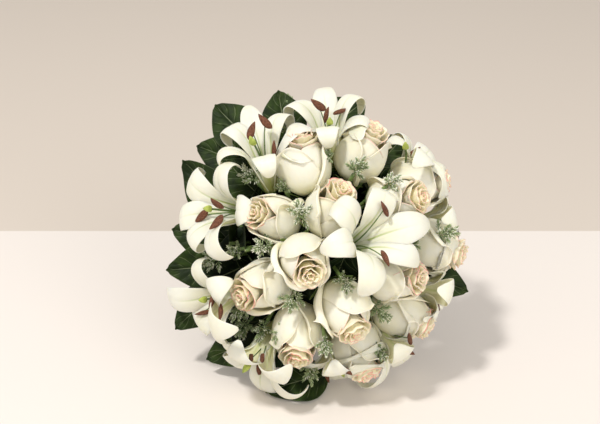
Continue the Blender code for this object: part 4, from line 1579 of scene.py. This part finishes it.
@dataclass
class Handle:
    """The stems: the stalks that fan out to the flowers, the bound handle, its tape and its ribbon.

    Distances are along the bouquet's axis, negative behind the hub.

    Args:
        stem_radius: of a bound stem.
        spacing: from one ring of bound stems to the next.
        end: where the stems are cut off.
        stalk_radius: of a stalk.
        tape: where the tape starts and ends, and its radius.
        ribbon: where the ribbon starts and ends, and its radius.
        inner: the radius of both inside.
        pins: where the pins are.
        pin_head: the radius of a pin's head.
        pin_seat: the radius of the ribbon's outermost turn, where the heads stand.
    """

    stem_radius: float = 2.9
    spacing: float = 5.2
    end: float = -241.0
    stalk_radius: float = 1.8
    tape: tuple[float, float, float] = (-17.5, -34.0, 15.0)
    ribbon: tuple[float, float, float] = (-36.0, -200.0, 15.7)
    inner: float = 13.9
    pins: tuple[float, ...] = (-62.0, -110.0, -158.0)
    pin_head: float = 3.0
    pin_seat: float = 16.0

    def stalk(self, work: Patchwork, end: Array, direction: Array) -> None:
        """A stalk that leaves the hub and bends into the line of what it carries.

        It is a quadratic curve whose last slope is the direction, with a thicker node on its way.

        Args:
            work: the mesh to add to.
            end: where it ends.
            direction: the way that it goes there.
        """
        out = unit(np.array([end[0], end[1], 0.0]))
        start = out * 4.0 + np.array([0.0, 0.0, -10.0])
        bend = end - direction * np.linalg.norm(end) * 0.45
        t = np.linspace(0.0, 1.0, 16)[:, None]
        path = start * (1 - t) ** 2 + bend * 2 * t * (1 - t) + end * t**2
        nodes = 1.0 + 0.16 * np.exp(-(((t[:, 0] - 0.55) / 0.04) ** 2))
        work.tube(path, self.stalk_radius * nodes, 9)

    def stalks(self, finishes: Finishes, ends: Sequence[tuple[Array, Array]]) -> bpy.types.Object:
        """Makes all the stalks.

        Args:
            finishes: the bouquet's materials.
            ends: where each ends, and the way that it goes there.

        Returns:
            The stalks.
        """
        work = Patchwork()
        for end, direction in ends:
            self.stalk(work, np.asarray(end, float), direction)
        made = work.piece("stalks", [finishes.stem])
        return stand_for(made, "stem", "flower_stalks")

    def stems(self, finishes: Finishes) -> bpy.types.Object:
        """Makes the bound stems: one in the middle, six round it and twelve outside.

        Args:
            finishes: the bouquet's materials.

        Returns:
            The stems, cut off unevenly.
        """
        work = Patchwork()
        random = np.random.default_rng(41)
        for ring, count in ((0, 1), (1, 6), (2, 12)):
            for i in range(count):
                turn = 2.0 * math.pi * (i + 0.3 * ring) / count
                short = 0.0 if ring == 2 else random.uniform(0.0, 4.0)
                along = np.linspace(-2.0, self.end + short, 22)
                wobble = 0.35 * np.sin(along / 23.0 + random.uniform(0, 6.28))
                radius = ring * self.spacing * (1.0 - 0.12 * ease(along, -40.0, -4.0)) + 0 * along
                right, up = radius * math.sin(turn) + wobble * (ring < 2), radius * math.cos(turn)
                path = np.stack([right, up, along], axis=1)
                thick = self.stem_radius * (1.0 - 0.06 * random.random()) * np.ones(22)
                thick = thick * (1.0 + 0.10 * np.exp(-(((along + random.uniform(205, 236)) / 3.0) ** 2)))
                thick[-1] = thick[-1] * 0.93
                work.tube(path, thick, 14)
        made = work.piece("cut_stems", [finishes.stem])
        return stand_for(made, "stem", "handle_stems")

    def sleeve(self, band: tuple[float, float, float], step: float, lip: float) -> Patchwork:
        """A band wound round the stems: a sleeve whose radius climbs along each turn of the band
        and drops by its thickness where the next begins.

        Args:
            band: where it starts and ends, and its radius.
            step: how far along the stems one turn takes it.
            lip: the band's thickness.

        Returns:
            The sleeve as a closed ring of wall.
        """
        start, end, outer = band
        rows = int(abs(start - end) / 0.9)
        along = np.linspace(start, end, rows)[:, None]
        turn = np.linspace(0.0, 2.0 * math.pi, BAND_SIDES, endpoint=False)[None, :]
        phase = ((along - start) / -step + turn / (2.0 * math.pi)) % 1.0
        crease = 0.22 * np.sin(9.0 * turn + 3.0 * phase) * np.sin(math.pi * phase) ** 2
        wall = outer + lip * ease(phase, 0.0, 0.9) * (1.0 - ease(phase, 0.94, 1.0)) + crease * (lip > 0.4)
        inside = np.full((1, BAND_SIDES), self.inner)
        rim = np.full((1, BAND_SIDES), outer - 0.3)
        radius = np.vstack([inside, rim, wall, rim, inside])
        rail = np.vstack([along[:1], along[:1], along, along[-1:], along[-1:]]) * np.ones_like(radius)
        grid = np.stack([radius * np.sin(turn), radius * np.cos(turn), rail], axis=-1)
        size = len(radius) * BAND_SIDES
        faces = grid_faces(len(radius), BAND_SIDES, closed=True)
        first, last = np.arange(BAND_SIDES), np.arange(size - BAND_SIDES, size)
        inner = np.stack([last, np.roll(last, -1), np.roll(first, -1), first], axis=1)
        where = np.stack([outer * turn * np.ones_like(radius), 30.0 * phase_rows(phase, 2), rail], axis=-1)
        work = Patchwork()
        tone = np.zeros((size, 3))
        work.add(grid.reshape(-1, 3), [faces, inner], where.reshape(-1, 3), tone, 0)
        return work

    def pin(self, finishes: Finishes, number: int, place: float) -> bpy.types.Object:
        """Makes a pearl-headed pin pushed square into the ribbon.

        Args:
            finishes: the bouquet's materials.
            number: which pin it is.
            place: where it is along the axis.

        Returns:
            The pin.
        """
        work = Patchwork()
        head = self.pin_seat + self.pin_head + 0.4
        t = np.linspace(-1.0, 1.0, 17)
        path = np.stack([0 * t, head + self.pin_head * t, place + 0 * t], axis=1)
        work.tube(path, self.pin_head * np.sqrt(np.maximum(1.0 - t**2, 0.0004)), 20)
        y = np.linspace(head - 1.0, 8.0, 6)
        shaft = np.stack([0 * y, y, place + 0 * y], axis=1)
        work.tube(shaft, np.array([0.6, 0.6, 0.6, 0.6, 0.5, 0.1]), 10, slot=1)
        made = work.piece(f"pin_{number}", [finishes.pearl, finishes.steel])
        return stand_for(made, "pearl", f"pearl_pin_{number}")

    def build(self, finishes: Finishes, ends: Sequence[tuple[Array, Array]]) -> list[bpy.types.Object]:
        """Makes the stalks, the stems, the tape, the ribbon and the pins.

        Args:
            finishes: the bouquet's materials.
            ends: where each stalk ends, and the way that it goes there.

        Returns:
            The pieces.
        """
        made = [self.stalks(finishes, ends), self.stems(finishes)]
        tape = self.sleeve(self.tape, 8.0, 0.25).piece("tape_winding", [finishes.tape])
        made.append(stand_for(tape, "tape", "binding_tape"))
        ribbon = self.sleeve(self.ribbon, 20.0, 0.55).piece("ribbon_winding", [finishes.satin])
        made.append(stand_for(ribbon, "ribbon", "ribbon_wrap"))
        made += [self.pin(finishes, i, place) for i, place in enumerate(self.pins, 1)]
        return made


def phase_rows(phase: Array, ends: int) -> Array:
    """The winding's phase with its first and last rows repeated for the sleeve's ends."""
    return np.vstack([phase[:1]] * ends + [phase] + [phase[-1:]] * ends)


ROSES = [
    Rose(1, (-13, 92, 88), 60, 353, 1.0, Hand.COUNTER, 165, 5.0),
    Rose(2, (56, 99, 78), 55, 29, 1.0, Hand.CLOCKWISE, 165, 8.0),
    Rose(3, (25, 39, 110), 45, 33, 0.95, Hand.CLOCKWISE, 190, 5.0),
    Rose(4, (-56, 19, 98), 42, 283, 0.93, Hand.CLOCKWISE, 15, 11.0),
    Rose(5, (-5, -39, 130), 30, 158, 0.95, Hand.COUNTER, 305, 7.0),
    Rose(6, (-69, -58, 86), 53, 243, 1.0, Hand.CLOCKWISE, 355, 10.0),
    Rose(7, (-18, -117, 68), 58, 186, 1.0, Hand.CLOCKWISE, 350, 5.0),
    Rose(8, (37, -92, 95), 58, 153, 1.0, Hand.COUNTER, 330, 8.0),
    Rose(9, (51, -134, 42), 75, 160, 0.96, Hand.CLOCKWISE, 300, 6.0),
    Rose(10, (111, -86, 36), 80, 114, 1.0, Hand.COUNTER, 340, 9.0),
    Rose(11, (97, -41, 88), 53, 94, 0.95, Hand.CLOCKWISE, 300, 6.0),
    Rose(12, (142, -19, 38), 80, 111, 1.0, Hand.COUNTER, 345, 8.0),
    Rose(13, (98, 34, 94), 53, 82, 0.96, Hand.COUNTER, 345, 10.0),
    Rose(14, (128, 54, 38), 78, 84, 0.96, Hand.COUNTER, 350, 9.0),
]

STAMENS = (Stamen(70, 14, 42), Stamen(190, 14, 41), Stamen(310, 14, 43))
PISTIL = Stamen(130, 8, 44)

LILIES = [
    Lily(1, (-46, 62, 64), 60, 345, [
        (345, 90, 0.42, 1.0), (30, 140, 0.42, 1.1), (80, 150, 0.38, 0.8),
        (165, 165, 0.40, 0.9), (255, 175, 0.40, 1.0), (310, 160, 0.44, 1.1),
    ], (Stamen(270, 3, 66), Stamen(58, 9, 72), Stamen(120, 20, 52)), Stamen(200, 9, 60), 0.80, 70),
    Lily(2, (15, 87, 58), 62, 352, [
        (352, 100, 0.42, 1.0), (45, 150, 0.45, 1.05), (100, 150, 0.38, 0.9),
        (175, 150, 0.42, 0.9), (235, 160, 0.38, 0.95), (305, 165, 0.42, 1.1),
    ], (Stamen(262, 6, 66), Stamen(175, 12, 60), Stamen(60, 16, 56)), Stamen(170, 22, 60), 0.80, 68),
    Lily(3, (-74, 22, 66), 55, 275, [
        (315, 140, 0.38, 1.05), (17, 165, 0.38, 0.95), (95, 165, 0.38, 0.7),
        (160, 150, 0.38, 1.05), (220, 150, 0.40, 1.05), (260, 130, 0.40, 1.05),
    ], (Stamen(83, 18, 60), Stamen(133, 21, 60), Stamen(250, 18, 56)), Stamen(105, 9, 62), 0.95, 58),
    Lily(4, (-81, -56, 46), 63, 245, [
        (345, 160, 0.40, 0.9), (50, 150, 0.40, 0.95), (98, 125, 0.40, 1.15),
        (170, 150, 0.40, 0.9), (225, 150, 0.40, 0.95), (275, 110, 0.40, 1.05),
    ], (Stamen(65, 22, 60), Stamen(90, 28, 60), Stamen(230, 20, 54)), Stamen(45, 15, 60), 1.0, 50),
    Lily(5, (-47, -104, 34), 76, 205, [
        (0, 140, 0.40, 0.95), (60, 150, 0.40, 1.0), (120, 150, 0.40, 1.08),
        (180, 150, 0.40, 1.05), (240, 150, 0.40, 0.9), (300, 160, 0.40, 0.8),
    ], (Stamen(15, 36, 60), Stamen(30, 42, 60), Stamen(190, 22, 52)), Stamen(350, 12, 56), 1.05, 30),
    Lily(6, (38, -9, 92), 30, 65, [
        (75, 108, 0.35, 1.05), (15, 160, 0.42, 1.1), (305, 165, 0.40, 1.05),
        (250, 125, 0.38, 1.0), (195, 125, 0.38, 1.1), (118, 112, 0.38, 0.95),
    ], (Stamen(20, 21, 68), Stamen(165, 21, 66)), Stamen(188, 29, 62), 1.0),
    Lily(7, (92, 64, 26), 76, 48, [
        (45, 150, 0.40, 0.9), (105, 150, 0.40, 0.8), (165, 150, 0.40, 0.85),
        (225, 150, 0.40, 0.9), (285, 150, 0.40, 0.75), (345, 150, 0.40, 0.8),
    ], STAMENS, Stamen(255, 44, 60), 0.92, 40),
    Lily(8, (116, 15, 14), 88, 80, [
        (80, 140, 0.40, 0.8), (140, 150, 0.40, 0.8), (200, 150, 0.40, 0.75),
        (260, 150, 0.40, 0.8), (320, 150, 0.40, 0.75), (20, 150, 0.40, 0.75),
    ], STAMENS, PISTIL, 0.92, 40),
    Lily(9, (70, -96, 22), 85, 145, [
        (85, 150, 0.40, 0.6), (145, 140, 0.40, 0.95), (205, 140, 0.40, 1.0),
        (265, 150, 0.40, 0.8), (325, 150, 0.40, 0.9), (25, 150, 0.40, 0.6),
    ], (Stamen(345, 48, 60), Stamen(120, 26, 54)), PISTIL, 0.92, 20),
    Lily(10, (20, -112, 22), 82, 172, [
        (110, 150, 0.40, 0.65), (170, 150, 0.40, 0.85), (230, 150, 0.40, 0.65),
        (290, 150, 0.40, 0.65), (350, 150, 0.40, 0.85), (50, 150, 0.40, 0.65),
    ], (Stamen(5, 33, 56), Stamen(200, 26, 50)), PISTIL, 0.92, 20),
    Lily(11, (108, -52, 20), 88, 102, [
        (47, 150, 0.40, 0.7), (107, 150, 0.40, 0.85), (167, 150, 0.40, 0.7),
        (227, 150, 0.40, 0.7), (287, 150, 0.40, 0.85), (347, 150, 0.40, 0.7),
    ], STAMENS, PISTIL, 0.92, 40),
]

# Each leaf of the rim: root, tip, greatest width, the lean and clock that its upper face points to,
# and how far its tip curls up
LEAVES = [
    ((-58, 88, 16), (-98, 134, 2), 50, 25, 330, 3.0),
    ((-66, 72, 2), (-119, 92, -4), 42, 30, 300, 0.0),
    ((-60, 66, 22), (-92, 112, 14), 36, 40, 300, 0.0),
    ((-52, 40, 24), (-86, 76, 22), 44, 35, 310, 0.0),
    ((-82, 20, 4), (-130, 78, 4), 48, 35, 285, 6.0),
    ((-88, -2, -2), (-142, 10, 0), 42, 35, 275, 0.0),
    ((-86, -24, -6), (-148, -32, -4), 44, 35, 265, 2.0),
    ((-88, -50, -6), (-138, -92, -6), 44, 40, 250, 0.0),
    ((-24, 92, 8), (-36, 148, 4), 46, 25, 350, 2.0),
    ((4, 100, 2), (52, 138, -3), 52, 25, 10, 5.0),
    ((14, -139, -10), (-48, -151, 5), 50, 30, 0, 0.0),
    ((-50, -100, -12), (-108, -122, -14), 40, 40, 250, 0.0),
    ((96, -34, -8), (154, -54, -4), 40, 35, 105, 0.0),
    ((60, 72, -4), (92, 104, -16), 38, 35, 40, 0.0),
]

# Each sprig: its middle, its radius, and the share of frosted needles
SPRIGS = [
    ((-60, 55, 62), 13, 0.9),
    ((-14, 18, 106), 15, 0.75),
    ((-48, -12, 92), 14, 0.7),
    ((-98, -24, 45), 13, 0.9),
    ((-21, -60, 88), 14, 0.4),
    ((39, 60, 92), 12, 0.35),
    ((70, 46, 104), 11, 0.7),
    ((123, 2, 60), 12, 0.5),
    ((88, -9, 62), 12, 0.3),
    ((27, -46, 102), 12, 0.55),
    ((61, -72, 66), 13, 0.3),
    ((-50, -90, 46), 12, 0.4),
    ((-4, -128, 32), 13, 0.15),
    ((9, -102, 78), 11, 0.4),
]

# Small tufts that fill gaps between the flowers, and the deep leaves darkened with painted shade
FILLERS = [
    ((-24, 134, 4), 9, 0.0),
    ((-68, -88, 22), 12, 0.3),
    ((-72, -72, 44), 11, 0.5),
    ((76, 26, 66), 9, 0.1),
    ((-30, 44, 78), 9, 0.1),
    ((62, -110, 52), 9, 0.25),
    ((-76, -14, 62), 9, 0.3),
    ((12, 72, 84), 8, 0.1),
    ((-34, -92, 62), 9, 0.2),
    ((98, 4, 78), 8, 0.2),
    ((-28, 104, 40), 8, 0.0),
]
COLLAR_LEAVES = 14
COLLAR_FROM, COLLAR_TO = 34.0, 108.0  # from the axis to a collar leaf's root and tip
GAP_LEAF_WIDTH = 50.0
GAP_LEAVES = [
    ((-24, -62, 6), (-82, -104, 2)),
    ((-10, -84, 4), (-52, -128, 0)),
    ((-60, -56, 8), (-112, -84, 4)),
    ((-58, -24, 8), (-116, -44, 4)),
]
DEEP_LEAF_LENGTH, DEEP_LEAF_WIDTH = 66.0, 54.0
# Rings of deep leaves: lean from the axis, the first one's clock, and how many
DEEP_RINGS = ((14, 30, 3), (42, 0, 7), (66, 20, 10), (88, 5, 12))
DEEP_LEAVES = [
    (lean, clock)
    for lean, start, count in DEEP_RINGS
    for clock in np.arange(count) * 360.0 / count + start
]


def deep_leaves() -> list[Leaf]:
    """The leaves in the depth of the bunch, dark with the painted shade of their finish.

    Four fill gaps between the flowers, a collar stands square to the axis behind them, and the
    rest lie like shingles on a ball round the hub.

    Returns:
        The leaves.
    """
    leaves = []
    for i, (root, tip) in enumerate(GAP_LEAVES, 1):
        face = heading(30.0, 210.0)
        leaves.append(Leaf(f"gap_leaf_{i}", root, tip, GAP_LEAF_WIDTH, face, 60 + i, dark=True))
    for i in range(COLLAR_LEAVES):
        clock = i * 360.0 / COLLAR_LEAVES
        back = np.array([0.0, 0.0, -4.0 * (i % 2)])
        root, tip = (heading(90.0, clock) * reach + back for reach in (COLLAR_FROM, COLLAR_TO))
        leaves.append(Leaf(
            f"collar_leaf_{i + 1:02d}", tuple(root), tuple(tip), DEEP_LEAF_WIDTH, heading(25.0, clock),
            80 + i, dark=True,
        ))
    for i, (lean, clock) in enumerate(DEEP_LEAVES):
        out = heading(lean, clock)
        along = unit(heading(lean + 40.0, clock + 25.0) - out)
        middle = out * (60.0 + 5.0 * (i % 3))
        root = middle - along * 0.5 * DEEP_LEAF_LENGTH
        tip = middle + along * 0.5 * DEEP_LEAF_LENGTH
        leaves.append(Leaf(
            f"deep_leaf_{i + 1:02d}", tuple(root), tuple(tip), DEEP_LEAF_WIDTH, out, 40 + i, dark=True
        ))
    return leaves


@dataclass(frozen=True)
class Studio:
    """The table, the lights and the camera.

    Args:
        elevation: how far the camera looks down, in degrees.
        distance: from the hub to the camera, in millimetres.
        shift_right: how far right of the hub the camera aims, in millimetres.
        shift_up: how far above the hub it aims, in millimetres.
        lens: its focal length, in millimetres.
        sky: how bright the sky is.
        aim: the point that the lights face, in metres.
        table_half: half the table's side, in metres.
        table_drop: how far below the bouquet the table lies, in metres.
    """

    elevation: float = 26.0
    distance: float = 1100.0
    shift_right: float = -14.0
    shift_up: float = 26.0
    lens: float = 66.0
    sky: float = 0.63
    aim: Point = (0.0, -0.05, 0.12)
    table_half: float = 4.0
    table_drop: float = 0.0005

    def table(self) -> None:
        """A wide flat table just under the bouquet."""
        half = self.table_half
        sides = ((-half, -half), (half, -half), (half, half), (-half, half))
        corners = [(x, y, -self.table_drop) for x, y in sides]
        mesh = bpy.data.meshes.new("table")
        mesh.from_pydata(corners, [], [(0, 1, 2, 3)])
        mesh.materials.append(TableFinish().material())
        table = bpy.data.objects.new("table", mesh)
        bpy.context.scene.collection.objects.link(table)
        table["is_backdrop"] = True

    def light(self, name: str, place: Point, size: float, power: float, colour: Colour) -> None:
        """A square soft light that faces the bouquet.

        Args:
            name: its name.
            place: where it stands, in metres.
            size: its side, in metres.
            power: in watts.
            colour: its colour.
        """
        lamp = bpy.data.lights.new(name, "AREA")
        lamp.shape, lamp.size, lamp.energy, lamp.color = "SQUARE", size, power, colour
        made = bpy.data.objects.new(name, lamp)
        back = unit(np.array(place) - np.array(self.aim))
        right = unit(np.cross([0.0, 0.0, 1.0], back))
        self.set_pose(made, np.stack([right, np.cross(back, right), back], axis=1), np.array(place))
        bpy.context.scene.collection.objects.link(made)

    @staticmethod
    def set_pose(made: bpy.types.Object, turn: Array, place: Array) -> None:
        """Sets where an object is and which way it faces.

        Args:
            made: the object.
            turn: its three axes, as columns.
            place: its place, in metres.
        """
        matrix = np.eye(4)
        matrix[:3, :3] = turn
        matrix[:3, 3] = place
        made.matrix_world = Matrix(matrix.tolist())

    def camera(self) -> None:
        """The camera, at the height and angle of the photograph."""
        angle = math.radians(self.elevation)
        right = np.array([1.0, 0.0, 0.0])
        up = np.array([0.0, math.sin(angle), math.cos(angle)])
        back = np.cross(right, up)
        place = HUB + self.shift_right * right + self.shift_up * up + self.distance * back
        lens = bpy.data.cameras.new("camera")
        lens.lens, lens.sensor_width = self.lens, 36.0
        lens.clip_start, lens.clip_end = 0.05, 30.0
        made = bpy.data.objects.new("camera", lens)
        bpy.context.scene.collection.objects.link(made)
        self.set_pose(made, np.stack([right, up, back], axis=1), place * MM)
        bpy.context.scene.camera = made

    def world(self) -> None:
        """An even warm white sky."""
        sky = bpy.data.worlds.new("studio")
        sky.use_nodes = True
        background = sky.node_tree.nodes["Background"]
        background.inputs[0].default_value = (1.0, 0.97, 0.93, 1.0)
        background.inputs[1].default_value = self.sky
        bpy.context.scene.world = sky

    def build(self) -> None:
        """Sets the stage."""
        self.table()
        self.world()
        self.light("key", (-1.1, -1.3, 3.1), 0.32, 72.0, (1.0, 0.975, 0.94))
        self.light("fill", (1.6, -2.4, 1.6), 1.6, 30.0, (1.0, 0.98, 0.96))
        self.camera()
        bpy.context.scene.view_settings.view_transform = "Standard"


def stalk_ends(inner: Sequence[Leaf]) -> list[tuple[Array, Array]]:
    """Where each stalk ends, and the way that it goes there.

    A rose's or a lily's stalk goes along the flower's axis, a rim leaf's along the leaf, and a
    dark leaf's or a sprig's straight out from the hub.

    Args:
        inner: the dark leaves.

    Returns:
        An end and a direction for each stalk.
    """
    ends = [(rose.seat.origin - rose.seat.axes[2] * 5.0, rose.seat.axes[2]) for rose in ROSES]
    ends += [(lily.seat.origin - lily.seat.axes[2] * 5.0, lily.seat.axes[2]) for lily in LILIES]
    ends += [(np.array(root, float), unit(np.subtract(tip, root))) for root, tip, *_ in LEAVES]
    ends += [(np.array(leaf.root, float), unit(np.array(leaf.root, float))) for leaf in inner]
    for middle, radius, _ in SPRIGS + FILLERS:
        way = unit(np.array(middle, float))
        ends.append((np.array(middle) - way * radius * 0.8, way))
    return ends


def main() -> None:
    """Builds the bouquet round its frame, piece by piece."""
    logging.basicConfig(level=logging.INFO, format="%(name)s %(message)s")
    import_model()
    finishes = Finishes()
    for rose in ROSES:
        rose.build(finishes)
    for lily in LILIES:
        lily.build(finishes)
    for i, (root, tip, width, lean, clock, curl) in enumerate(LEAVES, 1):
        name = f"leaf_{i:02d}"
        Leaf(name + "_blade", root, tip, width, heading(lean, clock), i, name, curl).build(finishes)
    inner = deep_leaves()
    for leaf in inner:
        leaf.build(finishes)
    for i, (middle, radius, frost) in enumerate(SPRIGS, 1):
        name = f"sprig_{i:02d}"
        Sprig(name + "_tuft", middle, radius, frost, i, name).build(finishes)
    for i, (middle, radius, frost) in enumerate(FILLERS, 1):
        Sprig(f"filler_{i:02d}", middle, radius, frost, 20 + i).build(finishes)
    Handle().build(finishes, stalk_ends(inner))
    Studio().build()
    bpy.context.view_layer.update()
    total = sum(len(o.data.polygons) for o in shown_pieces() if o.type == "MESH")
    log.info("%d faces in all", total)


if __name__ == "__main__":
    main()
